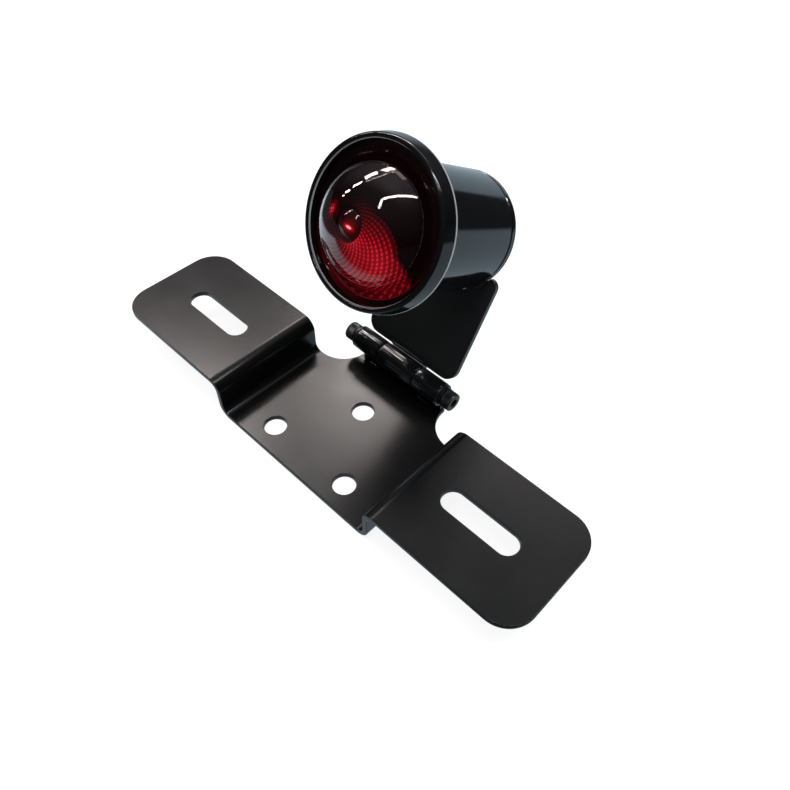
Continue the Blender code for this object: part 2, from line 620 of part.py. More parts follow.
def build_contacts(pivot):
    """The sprung contact carrier, free to slide back along the socket, and its coil spring."""
    stud_front = BULB_BASE_END + 1.6 * MM
    disc_front = stud_front + 1.2 * MM
    disc_back = disc_front + 1.6 * MM
    for name, side in SIDES:
        stud(f"carrier_stud_{name}", side, stud_front, pivot)
    on_barrel("contact_carrier",
              [(0, disc_front), (7.4 * MM, disc_front), (7.4 * MM, disc_back), (0, disc_back)],
              FIBRE, pivot, sides=COARSE, closed=False)
    wire, coil, turns, per_turn = 0.4 * MM, 5.6 * MM, 3, 12
    start = disc_back + GAP + wire
    end = SOCKET_END - SOCKET_WALL - GAP - wire
    curve = bpy.data.curves.new("contact_spring", "CURVE")
    curve.dimensions = "3D"
    curve.bevel_depth = wire
    curve.bevel_resolution = 1
    curve.use_fill_caps = True
    spline = curve.splines.new("POLY")
    count = turns * per_turn
    spline.points.add(count)
    for i, point in enumerate(spline.points):
        turn = 2 * math.pi * i / per_turn
        depth = start + (end - start) * i / count
        point.co = (coil * math.cos(turn), coil * math.sin(turn), -depth, 1.0)
    spring = curve_to_mesh("contact_spring", curve)
    place(spring, SPRING_STEEL, PARTS, (0, -LIP_AHEAD, BARREL_RISE), (math.pi / 2, 0, 0), pivot)


def build_grommet(pivot):
    """The rubber grommet that lines the wire hole in the closed end."""
    inside, outside = BARREL_END - 2 * MM, BARREL_END
    neck, lip, bore = GROMMET_HOLE - GAP, 6.6 * MM, 2.3 * MM
    on_barrel("cable_grommet", [
        (lip - 0.8 * MM, inside - 1.4 * MM),
        (lip, inside - 1.0 * MM),
        (lip, inside - GAP),
        (neck, inside - GAP),
        (neck, outside + GAP),
        (lip, outside + GAP),
        (lip, outside + 1.0 * MM),
        (lip - 1.2 * MM, outside + 1.8 * MM),
        (bore + 0.6 * MM, outside + 2.2 * MM),
        (bore, outside + 2.0 * MM),
        (bore, inside - 1.4 * MM),
    ], RUBBER, pivot, sides=COARSE)


def build_lamp():
    pivot = bpy.data.objects.new("lamp_pivot", None)
    PARTS.objects.link(pivot)
    pivot.location = (0, HINGE_Y, HINGE_Z)
    pivot.rotation_euler = (-LEAN, 0, 0)
    build_centre_knuckle(pivot)
    build_leaf(pivot)
    for name, side in SIDES:
        build_screw(name, side, pivot)
    build_housing(pivot)
    build_housing_weld(pivot)
    build_bezel(pivot)
    build_lens(pivot)
    reflector, floor_front, floor_back = build_reflector(pivot)
    shell = build_socket(pivot)
    build_rivets(pivot, reflector, shell, floor_front, floor_back)
    build_bulb(pivot)
    build_contacts(pivot)
    build_grommet(pivot)


build_bracket()
build_side_knuckles()
build_lamp()
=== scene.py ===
"""The looks of the motorcycle tail light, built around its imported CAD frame.

Metres, +Z up. The lamp's round pieces are made in the barrel's own frame: X along the hinge, Y up
the leaf, Z forward. Along that axis, places are given as a depth behind the bezel's front lip.
"""

import json
import math

import bmesh
import bpy
from mathutils import Matrix, Vector, noise


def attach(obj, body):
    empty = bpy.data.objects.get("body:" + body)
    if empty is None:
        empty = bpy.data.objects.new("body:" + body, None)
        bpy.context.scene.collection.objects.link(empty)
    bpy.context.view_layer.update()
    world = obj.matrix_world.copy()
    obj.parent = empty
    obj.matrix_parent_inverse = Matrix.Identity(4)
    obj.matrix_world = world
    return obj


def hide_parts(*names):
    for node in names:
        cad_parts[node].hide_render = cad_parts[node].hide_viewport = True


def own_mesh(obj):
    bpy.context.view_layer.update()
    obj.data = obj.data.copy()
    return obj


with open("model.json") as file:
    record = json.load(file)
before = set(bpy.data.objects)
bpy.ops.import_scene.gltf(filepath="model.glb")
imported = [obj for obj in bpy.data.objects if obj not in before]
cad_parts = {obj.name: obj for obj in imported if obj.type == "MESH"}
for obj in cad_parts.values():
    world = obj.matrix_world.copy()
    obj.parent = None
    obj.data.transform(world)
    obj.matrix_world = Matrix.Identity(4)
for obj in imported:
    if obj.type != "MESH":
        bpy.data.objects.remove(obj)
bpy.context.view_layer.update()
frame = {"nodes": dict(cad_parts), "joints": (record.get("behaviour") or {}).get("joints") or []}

MM = 0.001
TAU = 2 * math.pi
LR = (("left", -1), ("right", 1))
CORNERS = ((-1, -1), (1, -1), (1, 1), (-1, 1))

# The CAD model's sizes, repeated because this script can't read that file.
GAP, STACK_GAP = 0.3 * MM, 0.1 * MM  # between pieces that touch, and in the stack on a screw
SHEET = 2.0 * MM
STRIP_HALF_LENGTH, STRIP_HALF_WIDTH = 95.9 * MM, 22.75 * MM
WING_RISE, WING_CORNER = 14.7 * MM, 10.5 * MM
STEP_X, BEND_RADIUS = 37.1 * MM, 4.0 * MM
SLOT_X, SLOT_LENGTH, SLOT_WIDTH = 65.0 * MM, 29.6 * MM, 8.5 * MM
HOLE_RADIUS = 4.15 * MM
HOLES = ((-18.0 * MM, -13.7 * MM), (18.0 * MM, -13.7 * MM), (0.0, 13.0 * MM))
NECK_HALF_WIDTH, NECK_END_Y, NOTCH_RADIUS = 20.7 * MM, 35.4 * MM, 11.8 * MM
KNUCKLE_RADIUS, CENTRE_KNUCKLE_HALF = 4.5 * MM, 8.75 * MM
SIDE_KNUCKLE_IN, SIDE_KNUCKLE_OUT = 9.05 * MM, 20.4 * MM
BORE_RADIUS, TAPPED_RADIUS = 2.3 * MM, 2.15 * MM
BAR_FRONT_Y = 33.2 * MM
FLAT_WASHER, FLAT_WASHER_RADIUS, SPRING_WASHER = 0.7 * MM, 4.4 * MM, 0.9 * MM
HEAD_RADIUS, HEAD_LENGTH = 3.5 * MM, 4.0 * MM
SHANK_RADIUS, SHANK_LENGTH = 1.85 * MM, 16.0 * MM
HEX_APOTHEM, HEX_DEPTH = 1.5 * MM, 2.2 * MM
LEAN = math.radians(30.0)
LIP_AHEAD, BARREL_RISE = 48.6 * MM, 54.5 * MM
LEAF_HALF_WIDTH, LEAF_BOTTOM, LEAF_TOP = 21.3 * MM, 4.6 * MM, 45.0 * MM
LEAF_CORNER, LEAF_TOP_CORNER = 5.0 * MM, 3.0 * MM
LEAF_FRONT_Y, LEAF_BACK_Y = 1.9 * MM, 3.9 * MM
WELD_LEG = 2.4 * MM
BARREL_RADIUS, BARREL_WALL = 20.0 * MM, 1.5 * MM
BARREL_END, END_WALL = 52.5 * MM, 2.0 * MM
FLANGE_RADIUS, FLANGE_FRONT = 24.0 * MM, 6.1 * MM
FLANGE_BACK, FLANGE_CONE_END = 8.3 * MM, 13.0 * MM
BEZEL_LIP_RADIUS, BEZEL_REAR_RADIUS, BEZEL_REAR = 25.35 * MM, 26.25 * MM, 5.5 * MM
BEZEL_MOUTH, BEZEL_BORE, BEZEL_SKIRT_END = 23.5 * MM, 24.35 * MM, 8.0 * MM
SET_SCREW_DEPTH, SET_SCREW_HOLE = 7.05 * MM, 1.5 * MM
LENS_FRONT = 3.0 * MM
DOME_RADIUS, DOME_CENTRE, DOME_WALL = 20.6 * MM, 9.2 * MM, 2.2 * MM
DOME_BASE = math.asin(19.7 / 20.6)
GROMMET_HOLE = 4.3 * MM

HINGE = Vector(next(j["pos_m"] for j in frame["joints"] if j["name"] == "lamp_tilt"))
LAMP = Matrix.Translation(HINGE) @ Matrix.Rotation(-LEAN, 4, "X")
BARREL = (LAMP @ Matrix.Translation((0, -LIP_AHEAD, BARREL_RISE))
          @ Matrix.Rotation(math.pi / 2, 4, "X"))
SET_SCREW = (LAMP @ Matrix.Translation((0, SET_SCREW_DEPTH - LIP_AHEAD, BARREL_RISE))
             @ Matrix.Rotation(math.pi, 4, "X"))


# Materials.

class Nodes:
    """Writes the node tree of a material or a world."""

    def __init__(self, tree):
        self.tree = tree

    def add(self, kind, **settings):
        """A node with settings, where a name that starts with in_ sets an input's value."""
        node = self.tree.nodes.new("ShaderNode" + kind)
        for key, value in settings.items():
            if key.startswith("in_"):
                node.inputs[key[3:]].default_value = value
            else:
                setattr(node, key, value)
        return node

    def link(self, source, target):
        self.tree.links.new(source, target)

    def feed(self, value, socket):
        """Links the socket to another one, or gives it a plain value."""
        if isinstance(value, bpy.types.NodeSocket):
            self.link(value, socket)
        else:
            socket.default_value = value

    def math(self, operation, first, second=0.0, clamp=False):
        node = self.add("Math", operation=operation, use_clamp=clamp)
        self.feed(first, node.inputs[0])
        self.feed(second, node.inputs[1])
        return node.outputs[0]

    def times(self, first, second, clamp=False):
        return self.math("MULTIPLY", first, second, clamp)

    def step(self, value, edge, slope):
        """Rises from 0 to 1 past an edge, as steeply as the slope, or falls if it's negative."""
        return self.times(self.math("SUBTRACT", value, edge), slope, clamp=True)

    def mix(self, factor, first, second, blend_type="MIX"):
        """A colour from two others."""
        node = self.add("Mix", data_type="RGBA", blend_type=blend_type)
        for value, place in ((factor, 0), (first, 6), (second, 7)):
            self.feed(value, node.inputs[place])
        return node.outputs[2]

    def blend(self, factor, first, second):
        """Shows a material as one shader, and as the other where the factor is 1."""
        node = self.add("MixShader")
        for source, socket in zip((factor, first, second), node.inputs):
            self.link(source, socket)
        self.link(node.outputs[0], self.tree.nodes["Material Output"].inputs[0])

    def ramp(self, source, *stops):
        """A colour ramp through (place, colour) stops."""
        node = self.add("ValToRGB")
        points = node.color_ramp.elements
        while len(points) < len(stops):
            points.new(0.5)
        for point, (place, colour) in zip(points, stops):
            point.position = place
            grey = isinstance(colour, (int, float))
            point.color = (colour, colour, colour, 1) if grey else (*colour, 1)
        self.link(source, node.inputs[0])
        return node.outputs[0]

    def place(self, kind="Object"):
        return self.add("TexCoord").outputs[kind]

    def axes(self, place):
        """A place's X, Y and Z."""
        split = self.add("SeparateXYZ")
        self.link(place, split.inputs[0])
        return split.outputs

    def noise(self, scale, detail):
        node = self.add("TexNoise", in_Scale=scale, in_Detail=detail)
        self.link(self.place(), node.inputs["Vector"])
        return node.outputs[0]

    def attribute(self, name):
        return self.add("Attribute", attribute_name=name).outputs["Fac"]


def new_material(name):
    made = bpy.data.materials.new(name)
    made.use_nodes = True
    nodes = Nodes(made.node_tree)
    return made, nodes, made.node_tree.nodes["Principled BSDF"]


def coat(name, colour, roughness, spread, peel_scale, peel, *, metallic=0.0, speck=0.0,
         specular=0.5):
    """A painted or plated finish: fine peel in the surface, uneven gloss and faint specks."""
    made, nodes, shader = new_material(name)
    shader.inputs["Metallic"].default_value = metallic
    shader.inputs["Specular IOR Level"].default_value = specular
    wide = nodes.noise(90.0, 4.0)
    gloss = nodes.ramp(wide, (0.3, roughness - spread), (0.7, roughness + spread))
    nodes.link(gloss, shader.inputs["Roughness"])
    fine = nodes.noise(peel_scale, 2.0)
    bump = nodes.add("Bump", in_Strength=peel, in_Distance=0.1 * MM)
    nodes.link(fine, bump.inputs["Height"])
    nodes.link(bump.outputs[0], shader.inputs["Normal"])
    dust = nodes.noise(2600.0, 1.0)
    lighter = tuple(min(1.0, c + speck) for c in colour)
    tint = nodes.ramp(dust, (0.0, colour), (0.68, colour), (0.8, lighter))
    nodes.link(tint, shader.inputs["Base Color"])
    return made


BLACK, DULL_BLACK = (0.004, 0.0045, 0.005), (0.006, 0.0065, 0.007)
SATIN = coat("satin_black_powder", (0.004, 0.0042, 0.0045), 0.24, 0.02, 2400.0, 0.05, speck=0.01,
             specular=0.3)
# The leaf's copy of the satin powder has its base colour painted lighter, so the leaf shows
# brighter: painted light.
LEAF_SATIN_PAINTED_LIGHTER = coat("satin_black_powder_leaf_painted_lighter", (0.011, 0.012, 0.0125), 0.3, 0.03, 1800.0, 0.1,
                  speck=0.02)
GLOSS = coat("gloss_black_lacquer", BLACK, 0.09, 0.015, 700.0, 0.02, speck=0.004)
SEMI = coat("semi_gloss_black_enamel", BLACK, 0.1, 0.02, 1200.0, 0.05, speck=0.005)
OXIDE = coat("black_oxide_steel", DULL_BLACK, 0.32, 0.06, 3000.0, 0.2, speck=0.01, specular=0.4)
WELD = coat("painted_weld", DULL_BLACK, 0.5, 0.1, 1500.0, 0.9, speck=0.02, specular=0.25)
RUBBER = coat("black_rubber", (0.016, 0.016, 0.017), 0.72, 0.06, 1800.0, 0.35, speck=0.01)
TIN = coat("bright_plated_steel", (0.82, 0.82, 0.83), 0.14, 0.05, 900.0, 0.08, metallic=1.0)
BRASS = coat("brass", (0.72, 0.52, 0.24), 0.28, 0.08, 1400.0, 0.15, metallic=1.0, speck=0.05)
SPRING = coat("spring_steel", (0.48, 0.48, 0.5), 0.26, 0.06, 2000.0, 0.2, metallic=1.0)


def fibre_material():
    """Phenolic fibre: brown, with fine paper strands across it."""
    made, nodes, shader = new_material("phenolic_fibre")
    stretch = nodes.add("Mapping", in_Scale=(1.0, 1.0, 9.0))
    strands = nodes.add("TexNoise", in_Scale=900.0, in_Detail=4.0)
    nodes.link(nodes.place(), stretch.inputs["Vector"])
    nodes.link(stretch.outputs[0], strands.inputs["Vector"])
    tint = nodes.ramp(strands.outputs[0], (0.3, (0.16, 0.07, 0.03)), (0.7, (0.33, 0.16, 0.08)))
    nodes.link(tint, shader.inputs["Base Color"])
    shader.inputs["Roughness"].default_value = 0.6
    return made


def glass_material():
    """Thin clear bulb glass, faintly uneven."""
    made, nodes, shader = new_material("clear_glass")
    shader.inputs["Transmission Weight"].default_value = 1.0
    shader.inputs["Base Color"].default_value = (0.93, 0.95, 0.95, 1)
    ripple = nodes.noise(120.0, 2.0)
    nodes.link(nodes.ramp(ripple, (0.3, 0.0), (0.8, 0.06)), shader.inputs["Roughness"])
    return made


def lens_material():
    """The polished outside of the lens: a clear smoke tint under a mirror-smooth skin."""
    made, nodes, shader = new_material("polished_smoked_lens")
    nodes.tree.nodes.remove(shader)
    fresnel = nodes.add("Fresnel", in_IOR=1.62).outputs[0]
    inward = nodes.add("NewGeometry").outputs["Backfacing"]
    outside = nodes.math("SUBTRACT", 1.0, inward)
    shine = nodes.times(fresnel, outside)
    pass_through = nodes.add("BsdfTransparent", in_Color=(0.95, 0.82, 0.82, 1))
    skin = nodes.add("BsdfGlossy", in_Color=(1.0, 0.88, 0.87, 1))
    haze = nodes.noise(60.0, 3.0)
    nodes.link(nodes.ramp(haze, (0.35, 0.004), (0.75, 0.012)), skin.inputs["Roughness"])
    nodes.blend(shine, pass_through.outputs[0], skin.outputs[0])
    return made


def optic_material():
    """Deep red plastic with painted light: an emission paints the glow of light through the lens,
    bright on the pips where the painted glow is strong, nearly black between them.
    """
    made, nodes, shader = new_material("red_lens_pips_painted_glow")
    depth = nodes.math("ADD", nodes.times(nodes.attribute("pip"), 0.85), 0.15)
    cloud = nodes.ramp(nodes.noise(160.0, 2.0), (0.3, 0.75), (0.7, 1.0))
    # Painted light: the painted glow from the mesh sets both a painted emission and a lighter base
    # colour.
    level = nodes.times(nodes.times(depth, nodes.attribute("painted_glow")), cloud)
    tint = nodes.ramp(level, (0.0, (0.002, 0.0008, 0.0008)), (0.25, (0.1, 0.002, 0.005)),
                      (0.6, (0.45, 0.01, 0.022)), (0.85, (0.68, 0.05, 0.08)),
                      (1.0, (1.0, 0.7, 0.66)))
    base = nodes.ramp(level, (0.0, (0.003, 0.0006, 0.0006)), (1.0, (0.25, 0.004, 0.01)))
    nodes.link(base, shader.inputs["Base Color"])
    nodes.link(tint, shader.inputs["Emission Color"])
    shader.inputs["Emission Strength"].default_value = 1.0
    boss = nodes.attribute("boss")
    nodes.link(nodes.math("SUBTRACT", 0.4, nodes.times(boss, 0.37)), shader.inputs["Roughness"])
    nodes.link(nodes.times(boss, 0.9), shader.inputs["Specular IOR Level"])
    return made


def bezel_material():
    """The bezel's lacquer, with painted highlights: thin light lines along its inner and rear
    edges.
    """
    made = coat("bezel_lacquer_painted_highlights", BLACK, 0.09, 0.015, 700.0, 0.02)
    nodes = Nodes(made.node_tree)
    base = made.node_tree.nodes["Principled BSDF"].inputs["Base Color"]
    to_barrel = nodes.add("Mapping", vector_type="TEXTURE",
                          in_Location=BARREL.to_translation(), in_Rotation=BARREL.to_euler())
    nodes.link(nodes.place(), to_barrel.inputs["Vector"])
    x, y, z = nodes.axes(to_barrel.outputs[0])
    squares = [nodes.math("POWER", axis, 2.0) for axis in (x, y)]
    radius = nodes.math("SQRT", nodes.math("ADD", *squares))
    # Painted highlights: thin pale rings at the mouth and at the rear edge, mixed into the
    # lacquer's colour.
    lines = []
    for middle, half in ((23.72 * MM, 0.2 * MM), (26.2 * MM, 0.1 * MM)):
        off = nodes.math("ABSOLUTE", nodes.math("SUBTRACT", radius, middle))
        lines.append(nodes.math("SUBTRACT", 1.0, nodes.math("DIVIDE", off, half), clamp=True))
    front = nodes.math("GREATER_THAN", z, -0.9 * MM)
    rear = nodes.math("LESS_THAN", z, -4.9 * MM)
    edge = nodes.math("ADD", nodes.times(lines[0], front), nodes.times(lines[1], rear))
    nodes.link(nodes.mix(edge, base.links[0].from_socket, (0.5, 0.52, 0.53, 1)), base)
    return made


LENS = lens_material()
OPTIC = optic_material()
BEZEL = bezel_material()
FIBRE = fibre_material()
GLASS = glass_material()


# Mesh helpers.

def stand(name, data):
    """A new object in the scene."""
    made = bpy.data.objects.new(name, data)
    bpy.context.scene.collection.objects.link(made)
    return made


def smooth(mesh, sharp=32.0):
    mesh.shade_smooth()
    mesh.set_sharp_from_angle(angle=math.radians(sharp))


def finish_mesh(name, shape, material, matrix=None, sharp=32.0, clean=True):
    """An object at the origin, from a bmesh that the matrix places."""
    if clean:
        bmesh.ops.recalc_face_normals(shape, faces=shape.faces)
    mesh = bpy.data.meshes.new(name)
    shape.to_mesh(mesh)
    shape.free()
    if matrix is not None:
        mesh.transform(matrix)
    smooth(mesh, sharp)
    mesh.materials.append(material)
    return stand(name, mesh)


def corner_arc(before, corner, after, radius, steps):
    """The points of the arc that rounds a corner of an outline."""
    corner = Vector(corner)
    into = (Vector(before) - corner).normalized()
    out = (Vector(after) - corner).normalized()
    half = into.angle(out) / 2
    setback = radius / math.tan(half)
    centre = corner + (into + out).normalized() * radius / math.sin(half)
    start, end = corner + into * setback - centre, corner + out * setback - centre
    sweep = start.angle_signed(end)
    return [centre + Matrix.Rotation(-sweep * i / steps, 2) @ start for i in range(steps + 1)]


def rounded(corners, steps, closed=True):
    """The outline through (x, y, radius) corners, each rounded by its own radius."""
    outline = []
    count = len(corners)
    for i, (x, y, radius) in enumerate(corners):
        at_end = not closed and i in (0, count - 1)
        if at_end or radius == 0:
            outline.append(Vector((x, y)))
            continue
        before, after = corners[i - 1][:2], corners[(i + 1) % count][:2]
        outline += corner_arc(before, (x, y), after, radius, steps)
    return outline


def hexagon(apothem, turn):
    """The distance from a hexagon's centre to its side, in a direction."""
    return apothem / math.cos((turn + math.pi / 6) % (math.pi / 3) - math.pi / 6)


def polar(radius, turn, height):
    return radius * math.sin(turn), radius * math.cos(turn), height


def lathe(name, profile, material, matrix, sides=96, closed=True, radius_at=None, sharp=32.0):
    """A turned piece, from (radius, height) points. radius_at may reshape a ring by its turn."""
    shape = bmesh.new()
    rings = []
    for index, (radius, height) in enumerate(profile):
        if radius < 1e-7:
            rings.append([shape.verts.new((0, 0, height))])
            continue
        ring = []
        for i in range(sides):
            turn = TAU * i / sides
            reach = radius_at(index, radius, turn) if radius_at else radius
            ring.append(shape.verts.new(polar(reach, turn, height)))
        rings.append(ring)
    join_rings(shape, rings, closed)
    return finish_mesh(name, shape, material, matrix, sharp)


def join_rings(shape, rings, closed):
    """Faces between rings of as many vertices, where a ring may also be a single point."""
    sides = max(len(ring) for ring in rings)
    pairs = list(zip(rings, rings[1:]))
    if closed:
        pairs.append((rings[-1], rings[0]))
    for first, second in pairs:
        for i in range(sides):
            j = (i + 1) % sides
            face = [first[i % len(first)], first[j % len(first)],
                    second[j % len(second)], second[i % len(second)]]
            face = [v for k, v in enumerate(face) if v not in face[:k]]
            if len(face) > 2:
                shape.faces.new(face)


def join_with_ends(shape, rings):
    """Faces between rings, and one across each end."""
    join_rings(shape, rings, closed=False)
    shape.faces.new(list(reversed(rings[0])))
    shape.faces.new(rings[-1])


def new_ring(shape, radius, height, count):
    """New vertices round a circle at a height."""
    return [shape.verts.new(polar(radius, TAU * k / count, height)) for k in range(count)]


def oval(across, up, count):
    """The (across, up) points of an oval."""
    turns = (TAU * k / count for k in range(count))
    return [(across * math.cos(t), up * math.sin(t)) for t in turns]


def on_barrel(name, profile, material, sides=192, **options):
    """A turned piece on the barrel's axis, from (radius, depth behind the lip) points."""
    points = [(radius, -depth) for radius, depth in profile]
    return lathe(name, points, material, BARREL, sides, **options)


def soft_profile(corners, steps=4, closed=True):
    """(radius, depth) points with each (radius, depth, fillet) corner rounded."""
    return [tuple(p) for p in rounded(corners, steps, closed)]


def sweep(name, path, section, material, matrix=None, size_at=None):
    """A solid along a path of points. size_at(i) scales the (across, up) section at a point."""
    shape = bmesh.new()
    rings = []
    count = len(path)
    for i, point in enumerate(path):
        along = (path[min(i + 1, count - 1)] - path[max(i - 1, 0)]).normalized()
        across = along.cross(Vector((0, 0, 1))).normalized()
        rise = across.cross(along).normalized()
        size = size_at(i) if size_at else 1.0
        rings.append([shape.verts.new(point + (across * a + rise * b) * size)
                      for a, b in section])
    join_with_ends(shape, rings)
    return finish_mesh(name, shape, material, matrix, sharp=40.0)


def evaluated_mesh(obj):
    graph = bpy.context.evaluated_depsgraph_get()
    graph.update()
    return bpy.data.meshes.new_from_object(obj.evaluated_get(graph))


def prism(name, outlines, low, high, material):
    """A plate between two heights, from an outer outline and the outlines of its holes."""
    curve = bpy.data.curves.new(name, "CURVE")
    curve.dimensions = "2D"
    curve.fill_mode = "BOTH"
    curve.extrude = (high - low) / 2
    for outline in outlines:
        spline = curve.splines.new("POLY")
        spline.points.add(len(outline) - 1)
        for point, (x, y) in zip(spline.points, outline):
            point.co = (x, y, 0.0, 1.0)
        spline.use_cyclic_u = True
    drawn = stand(name + "_curve", curve)
    shape = bmesh.new()
    shape.from_mesh(evaluated_mesh(drawn))
    bpy.data.objects.remove(drawn)
    bmesh.ops.remove_doubles(shape, verts=shape.verts, dist=0.000001)
    bmesh.ops.translate(shape, verts=shape.verts, vec=(0, 0, (low + high) / 2))
    return finish_mesh(name, shape, material)


def apply_modifiers(obj):
    """Replaces an object's mesh by its evaluated one."""
    mesh = evaluated_mesh(obj)
    obj.modifiers.clear()
    obj.data = mesh


def boolean(target, tool, operation):
    """Cuts the target by the tool, or keeps only what both hold, and removes the tool."""
    modifier = target.modifiers.new("Boolean", "BOOLEAN")
    modifier.operation = operation
    modifier.object = tool
    apply_modifiers(target)
    bpy.data.objects.remove(tool)


def bevel(obj, width):
    """Rounds every sharp edge, and keeps the flat faces flat."""
    shape = bmesh.new()
    shape.from_mesh(obj.data)
    bmesh.ops.dissolve_limit(shape, angle_limit=math.radians(0.2), verts=shape.verts,
                             edges=shape.edges)
    shape.to_mesh(obj.data)
    shape.free()
    modifier = obj.modifiers.new("Bevel", "BEVEL")
    modifier.width = width
    modifier.segments = 3
    modifier.limit_method = "ANGLE"
    modifier.angle_limit = math.radians(40.0)
    weigh = obj.modifiers.new("Normals", "WEIGHTED_NORMAL")
    weigh.weight = 90
    weigh.keep_sharp = True
    obj.data.shade_smooth()
    apply_modifiers(obj)


def cuboid(name, low, high, material):
    shape = bmesh.new()
    bmesh.ops.create_cube(shape, size=1.0)
    size = Vector(high) - Vector(low)
    bmesh.ops.scale(shape, vec=size, verts=shape.verts)
    bmesh.ops.translate(shape, vec=(Vector(low) + Vector(high)) / 2, verts=shape.verts)
    return finish_mesh(name, shape, material)


def settle(piece, body, slot, *nodes):
    """Rides a piece on a body, in place of CAD nodes. The slot argument is not used."""
    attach(piece, body)
    if nodes:
        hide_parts(*nodes)


# The bracket.

def build_bracket():
    low, high = SHEET / 2, SHEET / 2 + WING_RISE
    beyond = STRIP_HALF_LENGTH + 5 * MM  # past the ends, which the outline cuts
    right = [(STEP_X, low, BEND_RADIUS), (STEP_X, high, BEND_RADIUS), (beyond, high, 0)]
    left = [(-x, z, radius) for x, z, radius in reversed(right)]
    path = rounded(left + right, 14, closed=False)
    shape = bmesh.new()
    front, back = -STRIP_HALF_WIDTH - 2 * MM, NECK_END_Y + 2 * MM
    rows = [(shape.verts.new((x, front, z)), shape.verts.new((x, back, z))) for x, z in path]
    for (a, b), (c, d) in zip(rows, rows[1:]):
        shape.faces.new((a, c, d, b))
    strip = finish_mesh("bracket", shape, SATIN, clean=False)
    solidify = strip.modifiers.new("Solidify", "SOLIDIFY")
    solidify.thickness = SHEET
    solidify.offset = 0.0
    solidify.use_even_offset = True
    apply_modifiers(strip)

    wide, deep = STRIP_HALF_LENGTH, STRIP_HALF_WIDTH
    side = [(wide, -deep, WING_CORNER), (wide, deep, WING_CORNER),
            (NECK_HALF_WIDTH, deep, NOTCH_RADIUS), (NECK_HALF_WIDTH, NECK_END_Y, 0.5 * MM)]
    other = [(-x, y, radius) for x, y, radius in reversed(side)]
    end = SLOT_WIDTH / 2
    slots = [rounded([(s * SLOT_X + a * SLOT_LENGTH / 2, b * end, 0.98 * end)
                      for a, b in CORNERS], 16) for _, s in LR]
    round_hole = oval(HOLE_RADIUS, HOLE_RADIUS, 56)
    holes = [[(x + a, y + b) for a, b in round_hole] for x, y in HOLES]
    outline = prism("outline", [rounded(side + other, 26), *slots, *holes], -SHEET,
                    WING_RISE + 3 * SHEET, SATIN)
    boolean(strip, outline, "INTERSECT")
    bevel(strip, 0.28 * MM)
    settle(strip, "bracket", "satin_black", "bracket_plate")


# The hinge.

def along_x(side):
    """The frame whose Z points outwards along the hinge on one side, turning with the lamp."""
    return LAMP @ Matrix.Rotation(side * math.pi / 2, 4, "Y")


def tube_profile(outer, inner, start, end, edge):
    """A ring's section with rounded corners, as (radius, height) points."""
    fine = edge / 2
    return soft_profile([(outer, start, edge), (outer, end, edge), (inner, end, fine),
                         (inner, start, fine)])


def ribbed(count, depth):
    """A ring shape with fine, uneven lengthwise ribs, as drawn tube has."""
    def shape_ring(_index, reach, turn):
        uneven = 0.6 + 0.8 * noise.noise(Vector((5 * math.cos(turn), 5 * math.sin(turn), 2.0)))
        return reach - depth * uneven * (0.5 + 0.5 * math.cos(count * turn))

    return shape_ring


def build_knuckles():
    edge = 0.4 * MM
    tube = tube_profile(KNUCKLE_RADIUS, BORE_RADIUS, SIDE_KNUCKLE_IN, SIDE_KNUCKLE_OUT, edge)
    for name, side in LR:
        upright = Matrix.Translation(HINGE) @ Matrix.Rotation(side * math.pi / 2, 4, "Y")
        knuckle = lathe(f"side_knuckle_{name}", tube, SEMI, upright, sides=320,
                        radius_at=ribbed(26, 0.07 * MM))
        settle(knuckle, "bracket", "gloss_black", f"knuckle_{name}")
    half = CENTRE_KNUCKLE_HALF
    centre = lathe("lamp_knuckle", tube_profile(KNUCKLE_RADIUS, TAPPED_RADIUS, -half, half, edge),
                   SEMI, along_x(1), sides=400, radius_at=ribbed(28, 0.09 * MM))
    settle(centre, "lamp", "gloss_black", "knuckle_centre")


KNURLS, KNURL_DEPTH = 36, 0.16 * MM


def screw_profile(head):
    """A socket head screw's points, from its socket's bottom to its tip, and which of their rings
    are hexagons and which are knurled."""
    top, edge = head + HEAD_LENGTH, 0.5 * MM
    rim = HEX_APOTHEM / math.cos(math.pi / 6) + 0.15 * MM
    profile = [(0, top - HEX_DEPTH - 0.6 * MM), (HEX_APOTHEM, top - HEX_DEPTH),
               (HEX_APOTHEM, top - 0.25 * MM), (rim, top), (HEAD_RADIUS - edge, top),
               (HEAD_RADIUS - 0.3 * edge, top - 0.15 * MM), (HEAD_RADIUS, top - edge)]
    knurled = [head + 0.5 * MM + i * (HEAD_LENGTH - 1.2 * MM) / 4 for i in range(5)]
    knurl_rings = range(len(profile), len(profile) + len(knurled))
    profile += [(HEAD_RADIUS, height) for height in reversed(knurled)]
    profile += [(HEAD_RADIUS, head + 0.3 * MM), (HEAD_RADIUS - 0.25 * MM, head),
                (SHANK_RADIUS, head)]
    tip = head - SHANK_LENGTH
    profile += [(SHANK_RADIUS, tip + 0.5 * MM), (SHANK_RADIUS - 0.4 * MM, tip), (0, tip)]
    return profile, (1, 2), knurl_rings


